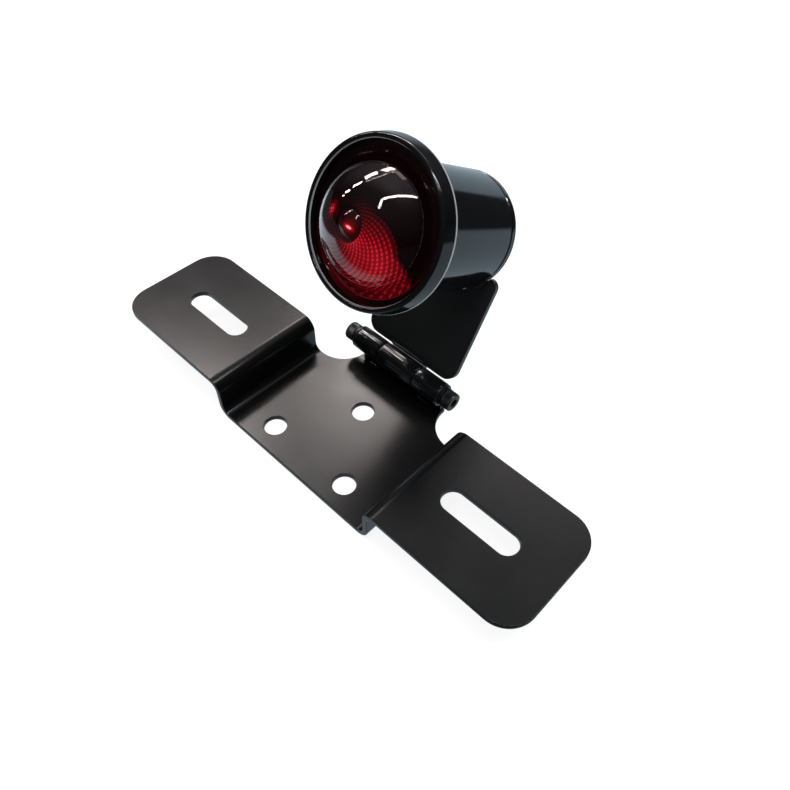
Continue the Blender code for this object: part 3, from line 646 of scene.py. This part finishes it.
def build_clamp_screws():
    flat_start = SIDE_KNUCKLE_OUT + STACK_GAP
    spring_start = flat_start + FLAT_WASHER + STACK_GAP
    profile, hex_rings, knurl_rings = screw_profile(spring_start + SPRING_WASHER + STACK_GAP)

    def shape_ring(index, reach, turn):
        if index in hex_rings:
            return hexagon(reach, turn)
        if index in knurl_rings:
            return reach - KNURL_DEPTH * (0.5 + 0.5 * math.cos(KNURLS * turn))
        return reach

    washer = tube_profile(FLAT_WASHER_RADIUS, BORE_RADIUS, flat_start, flat_start + FLAT_WASHER,
                          0.15 * MM)
    for name, side in LR:
        screw = lathe(f"clamp_screw_{name}", profile, OXIDE, along_x(side), sides=KNURLS * 6,
                      closed=False, radius_at=shape_ring, sharp=28.0)
        settle(screw, "lamp", "black_steel", f"hinge_screw_{name}")
        flat = lathe(f"plain_washer_{name}", washer, OXIDE, along_x(side))
        settle(flat, "lamp", "black_steel", f"flat_washer_{name}")
        split = split_washer(f"split_washer_{name}", spring_start, along_x(side))
        settle(split, "lamp", "black_steel", f"spring_washer_{name}")


def split_washer(name, start, matrix):
    """A spring washer: a square wire once round, with its cut ends a little apart."""
    middle, half_across, half_up = 3.0 * MM, 0.68 * MM, 0.38 * MM
    slit, offset, steps = 12, 0.06 * MM, 80
    section = [(a * half_across, b * half_up) for a, b in CORNERS]
    path = []
    for i in range(steps + 1):
        turn = math.radians(slit / 2 + (360 - slit) * i / steps)
        rise = SPRING_WASHER / 2 + offset * (2 * i / steps - 1)
        path.append(Vector(polar(middle, turn, start + rise)))
    return sweep(name, path, section, OXIDE, matrix)


def build_hinge_bar():
    low, high = SHEET + GAP, HINGE.z - KNUCKLE_RADIUS - GAP
    half = SIDE_KNUCKLE_OUT - GAP
    back = BAR_FRONT_Y + SHEET
    bar = cuboid("hinge_strip", (-half, BAR_FRONT_Y, low), (half, back, high), SATIN)
    bevel(bar, 0.3 * MM)
    settle(bar, "bracket", "satin_black", "hinge_bar")


def weld_run(name, start, end, width, seed, body, node, height=None, matrix=None,
             material=WELD):
    """A laid bead from one point to another: rippled, a little uneven, and rounded at its ends."""
    steps = 72
    start, end = Vector(start), Vector(end)
    height = height or width
    section = oval(width / 2, height / 2, 20)
    pitch = 0.85 * MM

    def size(i):
        share = i / steps
        taper = math.sqrt(max(0.02, 1 - abs(2 * share - 1) ** 5))
        ripple = 0.94 + 0.06 * math.cos(share * (end - start).length / pitch * TAU)
        wander = 0.9 + 0.16 * noise.noise(Vector((share * 6, seed, 0.5)))
        return taper * ripple * wander

    path = []
    for i in range(steps + 1):
        drift = 0.06 * MM * noise.noise(Vector((i * 0.13, seed, 4.5)))
        path.append(start.lerp(end, i / steps) + Vector((0, drift, drift)))
    bead = sweep(name, path, section, material, matrix, size_at=size)
    settle(bead, body, "satin_black", node)


def build_small_welds():
    top = HINGE.z - KNUCKLE_RADIUS - GAP
    for seed, (name, side) in enumerate(LR):
        middle = side * (SIDE_KNUCKLE_IN + SIDE_KNUCKLE_OUT) / 2
        y, z = BAR_FRONT_Y - 0.9 * MM, top - 0.7 * MM
        weld_run(f"knuckle_bead_{name}", (middle - 5 * MM, y, z), (middle + 5 * MM, y, z), 1.2 * MM,
                 seed, "bracket", f"knuckle_weld_{name}")
        y, z = BAR_FRONT_Y - 1.15 * MM, SHEET + 0.95 * MM
        x = side * 12.5 * MM
        weld_run(f"tack_bead_{name}", (x - 2.7 * MM, y, z), (x + 2.7 * MM, y, z), 1.7 * MM,
                 seed + 5, "bracket", f"bar_tack_{name}", height=1.3 * MM, material=SEMI)
    y, z = LEAF_FRONT_Y - 0.95 * MM, KNUCKLE_RADIUS + 1.0 * MM
    weld_run("leaf_bead", (-8 * MM, y, z), (8 * MM, y, z), 1.4 * MM, 11, "lamp", "leaf_weld",
             matrix=LAMP)


# The leaf, and the fillet that joins it to the barrel.

def build_leaf():
    """The lamp's plate, with a saddle under the barrel and its foot cut away round the knuckles."""
    wide, tab, foot = LEAF_HALF_WIDTH, CENTRE_KNUCKLE_HALF - GAP, 1.0 * MM
    side = [(tab, foot, 0), (tab, LEAF_BOTTOM, 0), (wide, LEAF_BOTTOM, LEAF_CORNER),
            (wide, LEAF_TOP, LEAF_TOP_CORNER)]
    other = [(-x, y, radius) for x, y, radius in reversed(side)]
    outline = rounded(other + side, 18)
    saddle, steps = BARREL_RADIUS + GAP, 64
    reach = math.acos((BARREL_RISE - LEAF_TOP) / saddle)
    for i in range(steps + 1):
        turn = reach - 2 * reach * i / steps
        outline.append(Vector((saddle * math.sin(turn), BARREL_RISE - saddle * math.cos(turn))))
    leaf = prism("leaf", [outline], -LEAF_BACK_Y, -LEAF_FRONT_Y, LEAF_SATIN_PAINTED_LIGHTER)
    leaf.data.transform(Matrix.Rotation(math.pi / 2, 4, "X"))
    radius, half = KNUCKLE_RADIUS + GAP, 30 * MM
    relief = lathe("relief", [(0, -half), (radius, -half), (radius, half), (0, half)], LEAF_SATIN_PAINTED_LIGHTER,
                   Matrix.Rotation(math.pi / 2, 4, "Y"), closed=False)
    boolean(leaf, relief, "DIFFERENCE")
    bevel(leaf, 0.25 * MM)
    leaf.data.transform(LAMP)
    settle(leaf, "lamp", "satin_black", "leaf_plate")


def fillet_section(root, face, size, share, beat):
    """(radius, depth) points round the fillet's section, with its sloping face rippled."""
    across = 10
    points = [(root, face), (root, face - size)]
    for k in range(1, across):
        lean = k / across
        bulge = math.sin(math.pi * lean)
        sag = 0.16 * bulge * size
        spot = Vector((share * 60, lean * 3, 7.7))
        ripple = 0.05 * math.cos(TAU * (beat + 0.55 * bulge)) + 0.16 * noise.noise(spot)
        ripple *= MM * bulge
        points.append((root + size * lean - sag + ripple,
                       face - size * (1 - lean) + sag - ripple))
    return [*points, (root + size, face)]


def build_housing_weld():
    """A fillet of overlapping ripples in the corner under the barrel."""
    face = LEAF_FRONT_Y + LIP_AHEAD - 0.05 * MM
    root = BARREL_RADIUS + 0.04 * MM
    pitch = 1.1 * MM
    reach = math.acos((BARREL_RISE - LEAF_TOP + 1.5 * MM) / (root + WELD_LEG / 2))
    steps = 220
    shape = bmesh.new()
    rings = []
    for i in range(steps + 1):
        share = i / steps
        turn = math.pi + reach * (2 * share - 1)
        taper = math.sqrt(max(0.03, 1 - abs(2 * share - 1) ** 9))
        size = WELD_LEG * taper * (0.86 + 0.12 * noise.noise(Vector((share * 9, 3.3, 0.2))))
        beat = share * 2 * reach * root / pitch
        rings.append([shape.verts.new(polar(r, turn, -d))
                      for r, d in fillet_section(root, face, size, share, beat)])
    join_with_ends(shape, rings)
    weld = finish_mesh("barrel_weld", shape, WELD, BARREL, sharp=50.0)
    settle(weld, "lamp", "satin_black", "housing_weld")


# The barrel and its bezel.

def drill(target):
    """The set screw's hole, up through the underside of the flange or the bezel."""
    radius, start, end = SET_SCREW_HOLE, 15 * MM, 30 * MM
    tool = lathe("drill", [(0, start), (radius, start), (radius, end), (0, end)], GLOSS, SET_SCREW,
                 sides=48, closed=False)
    boolean(target, tool, "DIFFERENCE")
    smooth(target.data)


def build_housing():
    """The barrel: a cup with a flared mouth, a fine groove near its end and a wire hole."""
    inner = BARREL_RADIUS - BARREL_WALL
    groove, tail = BARREL_RADIUS - 0.35 * MM, BARREL_RADIUS - 0.03 * MM
    rear_inside = BARREL_END - END_WALL
    shoulder, bore = 7.5 * MM, 22.0 * MM
    housing = on_barrel("barrel", soft_profile([
        (FLANGE_RADIUS, FLANGE_FRONT, 0.2 * MM), (FLANGE_RADIUS, FLANGE_BACK, 0.3 * MM),
        (BARREL_RADIUS, FLANGE_CONE_END, 3.0 * MM), (BARREL_RADIUS, 48.7 * MM, 0.12 * MM),
        (groove, 49.0 * MM, 0.1 * MM), (groove, 49.4 * MM, 0.1 * MM),
        (tail, 49.75 * MM, 0.15 * MM), (tail, BARREL_END, 0.75 * MM),
        (GROMMET_HOLE, BARREL_END, 0.2 * MM), (GROMMET_HOLE, rear_inside, 0.2 * MM),
        (inner, rear_inside, 0.8 * MM), (inner, FLANGE_CONE_END, 0.5 * MM),
        (inner + 1 * MM, shoulder, 0.2 * MM), (bore, shoulder, 0.2 * MM),
        (bore, FLANGE_FRONT, 0.2 * MM)], 6), GLOSS)
    drill(housing)
    settle(housing, "lamp", "gloss_black", "housing")


def build_bezel():
    """The flared ring, whose front lip turns in over the lens."""
    lip_back, lip_front = 2.7 * MM, 1.3 * MM
    bezel = on_barrel("bezel_ring", soft_profile([
        (BEZEL_LIP_RADIUS, 0, 0.9 * MM), (BEZEL_REAR_RADIUS - 0.2 * MM, 4.6 * MM, 0.5 * MM),
        (BEZEL_REAR_RADIUS, BEZEL_REAR, 0.4 * MM), (24.85 * MM, BEZEL_SKIRT_END, 0.2 * MM),
        (BEZEL_BORE, BEZEL_SKIRT_END, 0.15 * MM), (BEZEL_BORE, lip_back, 0),
        (BEZEL_MOUTH, lip_back, 0.15 * MM), (BEZEL_MOUTH, lip_front, 0.5 * MM),
        (BEZEL_MOUTH + 0.5 * MM, 0, 0.35 * MM)], 6), BEZEL)
    drill(bezel)
    settle(bezel, "lamp", "gloss_black", "bezel")


def build_set_screw():
    """The headless screw that holds the bezel, from its socket's floor to its tip."""
    apothem, radius = 0.65 * MM, 1.2 * MM

    def shape_ring(index, reach, turn):
        return hexagon(reach, turn) if index in (1, 2) else reach

    screw = lathe("bezel_set_screw", [(0, 23.9 * MM), (apothem, 24.1 * MM), (apothem, 25.2 * MM),
                                      (radius - 0.25 * MM, 25.3 * MM), (radius, 25.1 * MM),
                                      (radius, 22.2 * MM), (0, 21.6 * MM)],
                  OXIDE, SET_SCREW, sides=48, closed=False, radius_at=shape_ring)
    settle(screw, "lamp", "black_steel", "bezel_screw")


# The lens: a polished dome on a stepped flange, and the pips moulded inside it.

def dome(radius, tip, reach, steps):
    """(radius, depth) points down a spherical cap, from its tip to an angle from its axis."""
    turns = (reach * i / steps for i in range(steps + 1))
    return [(radius * math.sin(t), tip + radius * (1 - math.cos(t))) for t in turns]


def build_lens():
    """A thin dome on a flange, with a fine step and a shallow groove round it."""
    tip = DOME_CENTRE - DOME_RADIUS
    outside = dome(DOME_RADIUS, tip, DOME_BASE, 96)
    shell = 0.35 * MM
    inside = dome(DOME_RADIUS - shell, tip + shell, DOME_BASE - 0.01, 60)
    base = DOME_RADIUS * math.sin(DOME_BASE)
    step, groove, back = 2.3 * MM, 2.75 * MM, 3.4 * MM
    flange = soft_profile([
        (base, step, 0.3 * MM), (base + 0.75 * MM, step, 0.25 * MM),
        (base + 0.95 * MM, LENS_FRONT, 0.2 * MM), (21.4 * MM, LENS_FRONT, 0.1 * MM),
        (21.6 * MM, groove, 0.1 * MM), (22.0 * MM, groove, 0.1 * MM),
        (22.2 * MM, LENS_FRONT, 0.1 * MM), (24.0 * MM, LENS_FRONT, 0.1 * MM),
        (24.0 * MM, back, 0.1 * MM), (19.5 * MM, back, 0.2 * MM),
        (*inside[-1], 0)], 4, closed=False)
    lens = on_barrel("lens_dome", [*outside, *flange[1:-1], *reversed(inside)], LENS, sides=320,
                     closed=False)
    settle(lens, "lamp", "red_lens", "lens")


PIPS_ROUND, DOME_PIP_RINGS, FLANGE_PIP_RINGS = 36, 23, 2
PIP_RINGS = DOME_PIP_RINGS + FLANGE_PIP_RINGS
PIP_STEP = math.radians(2.45)
NOSE_REACH = math.radians(15.5)  # where the pips begin, round the boss
OPTIC_RADIUS = DOME_RADIUS - 0.8 * MM
OPTIC_TIP = DOME_CENTRE - OPTIC_RADIUS
OPTIC_COLUMNS, OPTIC_ROWS = PIPS_ROUND * 9, PIP_RINGS * 6
BOSS_RADIUS, BOSS_AHEAD, BOSS_STEPS = 6.2 * MM, 0.1 * MM, 20
BOSS_REACH = math.radians(54)
OPTIC_FLAT, RIM_LINE_RADIUS = 3.62 * MM, 21.5 * MM
OPTIC_LAYERS = ("pip", "painted_glow", "boss")
# Round the optic, how far from its axis the painted light reaches. Both are in degrees.
PAINTED_LIGHT_EDGE = ((0, 21), (50, 27), (100, 50), (124, 84), (232, 84), (262, 30), (300, 14), (360, 21))


def hill(offset, width):
    """1 in the middle of a smooth hill, falling off over its width."""
    return math.exp(-(offset / width) ** 2)


def between(stops, place):
    """The value at a place along straight lines through (place, value) stops."""
    for (first, low), (last, high) in zip(stops, stops[1:]):
        if place <= last:
            break
    return low + (high - low) * (place - first) / (last - first)


def pip_height(turn, fall):
    """0 to 1 over a pip of the staggered lattice. The pips are drawn out along its diagonal."""
    ring = (fall - NOSE_REACH) / PIP_STEP - 0.5
    spacing = TAU / PIPS_ROUND
    best = 0.0
    for row in range(math.floor(ring) - 1, math.floor(ring) + 3):
        if not 0 <= row < PIP_RINGS:
            continue
        column = turn / spacing - row / 2
        across = column - round(column)
        down = ring - row
        along = across + down / 2
        beside = across - down / 2
        best = max(best, 1 - (along / 0.47) ** 2 - (beside / 0.27) ** 2)
    return max(0.0, best) ** 0.7


def pip_ground(fall):
    """The (radius, depth) that pips stand on, down the dome and out over the flange, and a whole
    pip's (outward, forward) height there."""
    dome_end = NOSE_REACH + DOME_PIP_RINGS * PIP_STEP
    down = min(fall, dome_end)
    radius, depth = OPTIC_RADIUS * math.sin(down), DOME_CENTRE - OPTIC_RADIUS * math.cos(down)
    if fall <= dome_end:
        height = 0.3 * MM
        return radius, depth, height * math.sin(fall), height * math.cos(fall)
    beyond = (fall - dome_end) / (FLANGE_PIP_RINGS * PIP_STEP)
    flat_radius = 21.3 * MM
    return (radius + beyond * (flat_radius - radius),
            depth + min(1.0, 4 * beyond) * (OPTIC_FLAT - depth), 0.0, 0.12 * MM)


def painted_glow(turn, fall):
    """How strongly painted light glows at a place on the dome's inner side, from 0 up: a painted
    glow brightest low on the right, and a small painted red reflection on the left.
    """
    around, down = math.degrees(turn) % 360, math.degrees(fall)
    reach = min(1.0, max(0.0, (between(PAINTED_LIGHT_EDGE, around) - down) / 7 + 0.4))
    heart = hill(around - 125, 66)
    glow = reach * (0.03 + 0.86 * heart) * math.exp(-max(0.0, down - 45) / 60)
    return glow + 1.15 * hill(around - 281, 15) * hill(down - 20.5, 4.2)


def painted_filament_glint(place):
    """A painted glint: the small bright image behind the boss, drawn out aslant. place is (right,
    up).
    """
    centre, along = Vector((0.22, -0.07)), Vector((0.99, -0.1))
    offset = place - centre
    core = hill(offset.dot(along), 0.2) * hill(offset.cross(along), 0.08)
    return 1.1 * core + 0.36 * hill(offset.length, 0.3)


def paint(vert, layers, *values):
    for layer, value in zip(layers, values):
        vert[layer] = value


def boss_rings(shape, layers):
    """The boss, outwards from the small dimple in its tip."""
    tip = OPTIC_TIP - BOSS_AHEAD
    rings = [[shape.verts.new((0, 0, -OPTIC_TIP - BOSS_AHEAD))]]
    for i in range(1, BOSS_STEPS + 1):
        fall = BOSS_REACH * i / BOSS_STEPS
        depth = tip + BOSS_RADIUS * (1 - math.cos(fall))
        rings.append(new_ring(shape, BOSS_RADIUS * math.sin(fall), -depth, OPTIC_COLUMNS))
    for ring in rings:
        for vert in ring:
            turn = math.atan2(vert.co.x, vert.co.y)
            fall = math.asin(min(1.0, vert.co.xy.length / BOSS_RADIUS))
            place = Vector((math.sin(turn) * fall, math.cos(turn) * fall))
            # The boss takes the painted glint as its painted glow.
            paint(vert, layers, 1.0, painted_filament_glint(place), 1.0)
    return rings


def pip_rings(shape, layers):
    """The lattice of pips, from the boss down the dome and out over the flange."""
    end = NOSE_REACH + PIP_RINGS * PIP_STEP
    rings = []
    for row in range(OPTIC_ROWS + 1):
        fall = NOSE_REACH + (end - NOSE_REACH) * row / OPTIC_ROWS
        radius, depth, out, ahead = pip_ground(fall)
        ring = []
        for k in range(OPTIC_COLUMNS):
            turn = TAU * k / OPTIC_COLUMNS
            pip = pip_height(turn, fall)
            vert = shape.verts.new(polar(radius + out * pip, turn, ahead * pip - depth))
            # Painted light: each point takes its painted glow, which also raises the pip value
            # where the glow is strong.
            light = painted_glow(turn, fall)
            paint(vert, layers, pip + (1 - pip) * 0.45 * min(1.0, light) ** 2, light)
            ring.append(vert)
        rings.append(ring)
    return rings


def back_rings(shape, layers, start):
    """From the last pips out to the rim, and round the hollow back."""
    rim, back, fine = 23.8 * MM, 4.5 * MM, 0.1 * MM
    skirt = soft_profile([
        (start.xy.length, -start.z, 0), (RIM_LINE_RADIUS - fine, OPTIC_FLAT, 0),
        (RIM_LINE_RADIUS, OPTIC_FLAT, 0), (RIM_LINE_RADIUS + fine, OPTIC_FLAT, 0),
        (rim, OPTIC_FLAT, 0.2 * MM), (rim, back, 0.2 * MM),
        (17.5 * MM, back, 0.2 * MM), (17.3 * MM, 2.5 * MM, 0)], 3, closed=False)[1:]
    inner = DOME_RADIUS - DOME_WALL
    hollow = dome(inner, DOME_CENTRE - inner, math.radians(66), 10)[:0:-1]
    rings = []
    for radius, depth in skirt + hollow:
        ring = new_ring(shape, radius, -depth, OPTIC_COLUMNS)
        on_line = abs(radius - RIM_LINE_RADIUS) < fine / 2
        for k, vert in enumerate(ring):
            around = 360 * k / OPTIC_COLUMNS
            # Painted light: a painted highlight along the fine rim line, strongest at the bottom,
            # and a faint painted glow on the rest of the back, low on the left.
            if on_line:
                paint(vert, layers, 1.0, 0.85 * hill(around - 175, 55))
            else:
                paint(vert, layers, 0.3, 0.2 * hill(around - 205, 30))
        rings.append(ring)
    return [*rings, [shape.verts.new((0, 0, inner - DOME_CENTRE))]]


def build_optic():
    """The pips on the dome's inner side, round a small bull's-eye boss."""
    shape = bmesh.new()
    for name in OPTIC_LAYERS:
        shape.verts.layers.float.new(name)
    layers = [shape.verts.layers.float[name] for name in OPTIC_LAYERS]
    rings = boss_rings(shape, layers) + pip_rings(shape, layers)
    rings += back_rings(shape, layers, rings[-1][0].co)
    join_rings(shape, rings, closed=False)
    optic = finish_mesh("lens_pips", shape, OPTIC, BARREL, sharp=70.0)
    settle(optic, "lamp", "red_lens")


def build_gasket():
    outer, inner, front, back = 23.9 * MM, 20.7 * MM, 4.8 * MM, 5.8 * MM
    fillet = 0.3 * MM
    gasket = on_barrel("lens_seal", soft_profile([
        (outer, front, fillet), (outer, back, fillet), (inner, back, fillet),
        (inner, front, fillet)]), RUBBER, sides=96)
    settle(gasket, "lamp", "rubber", "lens_gasket")


def build_grommet():
    """A rubber ring whose two lips hold the wall of the barrel's end between them."""
    inside, outside = BARREL_END - END_WALL, BARREL_END
    neck, lip, bore = 4.0 * MM, 6.6 * MM, 2.3 * MM
    front = inside - 1.4 * MM
    grommet = on_barrel("wire_grommet", soft_profile([
        (lip - 0.8 * MM, front, 0.2 * MM), (lip, inside - 1.0 * MM, 0.2 * MM),
        (lip, inside - GAP, 0.1 * MM), (neck, inside - GAP, 0.1 * MM),
        (neck, outside + GAP, 0.1 * MM), (lip, outside + GAP, 0.15 * MM),
        (lip, outside + 1.0 * MM, 0.3 * MM), (lip - 1.2 * MM, outside + 1.8 * MM, 0.4 * MM),
        (bore + 0.6 * MM, outside + 2.2 * MM, 0.2 * MM), (bore, outside + 2.0 * MM, 0.2 * MM),
        (bore, front, 0.2 * MM)]), RUBBER, sides=96)
    settle(grommet, "lamp", "rubber", "cable_grommet")


def build_spring():
    """The carrier's coil spring, which shortens as the carrier slides back."""
    wire, coil, turns, per_turn = 0.4 * MM, 5.6 * MM, 3, 48
    start, end = 43.1 * MM, 46.1 * MM
    section = oval(wire, wire, 12)
    path = []
    for i in range(turns * per_turn + 1):
        turn = TAU * i / per_turn
        depth = start + (end - start) * i / (turns * per_turn)
        path.append(Vector((coil * math.cos(turn), coil * math.sin(turn), -depth)))
    spring = sweep("carrier_spring", path, section, SPRING, BARREL)
    settle(spring, "lamp", "spring_steel", "contact_spring")
    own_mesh(spring)


build_bracket()
build_knuckles()
build_clamp_screws()
build_hinge_bar()
build_small_welds()
build_leaf()
build_housing_weld()
build_housing()
build_bezel()
build_set_screw()
build_lens()
build_optic()
build_gasket()
build_grommet()
build_spring()


# Materials for the CAD nodes that stay.

def repaint(material, *names):
    for name in names:
        mesh = frame["nodes"][name].data
        mesh.materials.clear()
        mesh.materials.append(material)
        smooth(mesh)


def both(name):
    return f"{name}_left", f"{name}_right"


repaint(TIN, "reflector", "socket_shell")
repaint(BRASS, *both("socket_rivet"), "bulb_base", *both("bulb_contact"), *both("carrier_stud"))
repaint(GLASS, "bulb_glass")
repaint(FIBRE, "contact_carrier")


# The stage: camera, floor, world and lights.

CAMERA_AT = (122.7 * MM, -100.8 * MM, 213.2 * MM)
CAMERA_RIGHT = Vector((0.7300, 0.6830, 0.0310))
CAMERA_DOWN = Vector((0.5440, -0.5530, -0.6310))
SENSOR, FOCAL_LENGTH = 36.0, 33.1722  # in millimetres
SHIFT_X, SHIFT_Y = -0.0226734, 0.0084038
ROOM_BLUE = (0.48, 0.60, 0.68)  # the bright surroundings that the gloss reflects


def build_camera():
    made = stand("camera", bpy.data.cameras.new("camera"))
    right = CAMERA_RIGHT.normalized()
    back = right.cross(-CAMERA_DOWN).normalized()
    up = back.cross(right).normalized()
    turn = Matrix((right, up, back)).transposed()
    made.matrix_world = Matrix.Translation(CAMERA_AT) @ turn.to_4x4()
    made.data.sensor_width = SENSOR
    made.data.lens = FOCAL_LENGTH
    made.data.shift_x, made.data.shift_y = SHIFT_X, SHIFT_Y
    made.data.clip_start = 0.01
    bpy.context.scene.camera = made


def table_gloss(nodes):
    """What the gloss sees of the floor: a bluish table top with dark beyond its edges."""
    x, y, _ = nodes.axes(nodes.place())
    ahead = nodes.math("SUBTRACT", nodes.times(x, 0.5), nodes.times(y, 0.87))
    behind = nodes.math("MAXIMUM", nodes.math("SUBTRACT", y, 0.026), 0.0)
    aside = nodes.math("ADD", x, nodes.times(behind, 2.5))
    near = nodes.step(ahead, 0.075, -30.0)
    inside = nodes.step(aside, -0.225, 20.0)
    right = nodes.times(nodes.math("ADD", x, nodes.times(y, 0.07)), 14.0, clamp=True)
    dark_corner = nodes.times(nodes.step(y, 0.25, 25.0), right)
    shown = nodes.times(nodes.times(near, inside), nodes.math("SUBTRACT", 1.0, dark_corner))
    brighter = nodes.times(nodes.step(x, -0.055, -8.0), nodes.step(y, 0.12, -20.0))
    gloss = nodes.add("Emission")
    nodes.link(nodes.ramp(shown, (0.0, (0.03, 0.035, 0.04)), (1.0, ROOM_BLUE)),
               gloss.inputs["Color"])
    nodes.link(nodes.math("ADD", nodes.times(brighter, 1.9), 1.0), gloss.inputs["Strength"])
    return gloss.outputs[0]


def build_floor():
    """A white floor that shows in the gloss as a table top."""
    made, nodes, shader = new_material("pale_floor")
    shader.inputs["Base Color"].default_value = (0.22, 0.22, 0.22, 1)
    shader.inputs["Roughness"].default_value = 0.9
    shader.inputs["Specular IOR Level"].default_value = 0.0
    white = nodes.add("Emission", in_Color=(0.9, 0.9, 0.9, 1))
    bright = nodes.add("AddShader")
    nodes.link(shader.outputs[0], bright.inputs[0])
    nodes.link(white.outputs[0], bright.inputs[1])
    in_gloss = nodes.add("LightPath").outputs["Is Glossy Ray"]
    nodes.blend(in_gloss, bright.outputs[0], table_gloss(nodes))
    shape = bmesh.new()
    bmesh.ops.create_grid(shape, x_segments=8, y_segments=8, size=4.0)
    floor = finish_mesh("floor", shape, made, clean=False)
    floor.location = (0, 0, -0.02 * MM)


CEILING = 1.5  # its height over the lamp, in metres
AIM = Vector((0, 0.02, 0.05))
WARM, WHITE = (1.0, 0.91, 0.87), (1.0, 1.0, 1.0)
PANELS = (  # each light's (from, to, width) in ceiling heights, its radiance and its colour
    ((-0.68, 0.50), (-0.64, 0.95), 0.21, 17.5, WARM),  # skylights, from the nearest
    ((-0.965, 0.075), (-0.745, 0.37), 0.18, 24.0, WARM),
    ((-1.36, -0.29), (-0.955, -0.09), 0.12, 24.0, WARM),
    ((-2.05, -0.61), (-1.5, -0.435), 0.10, 30.0, WARM),
    ((-2.55, -0.87), (-2.13, -0.76), 0.08, 30.0, WARM),
    ((-0.55, 0.90), (-0.05, 0.82), 0.5, 1.3, WARM),  # daylight spilled beside them
    ((-0.77, -0.05), (-0.52, 0.29), 0.018, 12.0, WHITE),  # the edge of a beam beside them
    ((-0.52, 0.29), (-0.42, 0.97), 0.018, 12.0, WHITE),
    ((0.03, -0.245), (0.72, 0.905), 0.062, 24.0, WHITE),  # a strip lamp and its short return
    ((0.02, -0.27), (0.13, -0.555), 0.065, 24.0, WHITE),
)


def build_lights():
    """Ceiling lights, each placed by directions (x, y) for one unit of height."""
    for i, (start, end, width, radiance, colour) in enumerate(PANELS):
        start, end = CEILING * Vector(start), CEILING * Vector(end)
        along = end - start
        light = bpy.data.lights.new(f"panel_{i}", "AREA")
        light.shape = "RECTANGLE"
        light.size, light.size_y = along.length, width * CEILING
        light.energy = 4 * radiance * light.size * light.size_y
        light.color = colour
        made = stand(f"panel_{i}", light)
        made.location = AIM + ((start + end) / 2).to_3d() + Vector((0, 0, CEILING))
        made.rotation_euler = (0, 0, math.atan2(along.y, along.x))


def build_world():
    """A dim room with a paler ceiling and a bright stretch of wall behind the lamp. The camera
    sees plain white instead."""
    world = bpy.data.worlds.new("studio")
    bpy.context.scene.world = world
    world.use_nodes = True
    nodes = Nodes(world.node_tree)
    x, y, z = nodes.axes(nodes.place("Generated"))
    height = nodes.math("ADD", nodes.times(z, 0.5), 0.5)
    dark = (0.02, 0.025, 0.03)
    upper = ((0.62, (0.07, 0.075, 0.08)), (0.8, (0.2, 0.22, 0.235)), (1.0, (0.44, 0.47, 0.5)))
    room = nodes.ramp(height, (0.0, dark), (0.55, dark), *upper)
    wall = nodes.ramp(height, (0.0, ROOM_BLUE), (0.52, ROOM_BLUE), (0.56, (0.3, 0.38, 0.43)),
                      *upper)
    aside = nodes.math("SUBTRACT", nodes.times(y, -0.07), x)
    on_wall = nodes.times(nodes.step(aside, -0.01, 40.0), nodes.step(y, 0.3, 6.0))
    rearward = nodes.math("ADD", nodes.times(y, 3.0), 0.5, clamp=True)
    leftward = nodes.math("SUBTRACT", 0.9, nodes.times(x, 1.3), clamp=True)
    fade = nodes.ramp(nodes.times(rearward, leftward), (0.0, 0.25), (1.0, 1.0))
    room = nodes.mix(1.0, nodes.mix(on_wall, room, wall), fade, blend_type="MULTIPLY")
    by_camera = nodes.add("LightPath").outputs["Is Camera Ray"]
    nodes.link(nodes.mix(by_camera, room, (0.93, 0.94, 0.95, 1)),
               world.node_tree.nodes["Background"].inputs["Color"])


build_camera()
build_floor()
build_lights()
build_world()
bpy.context.scene.view_settings.view_transform = "Standard"
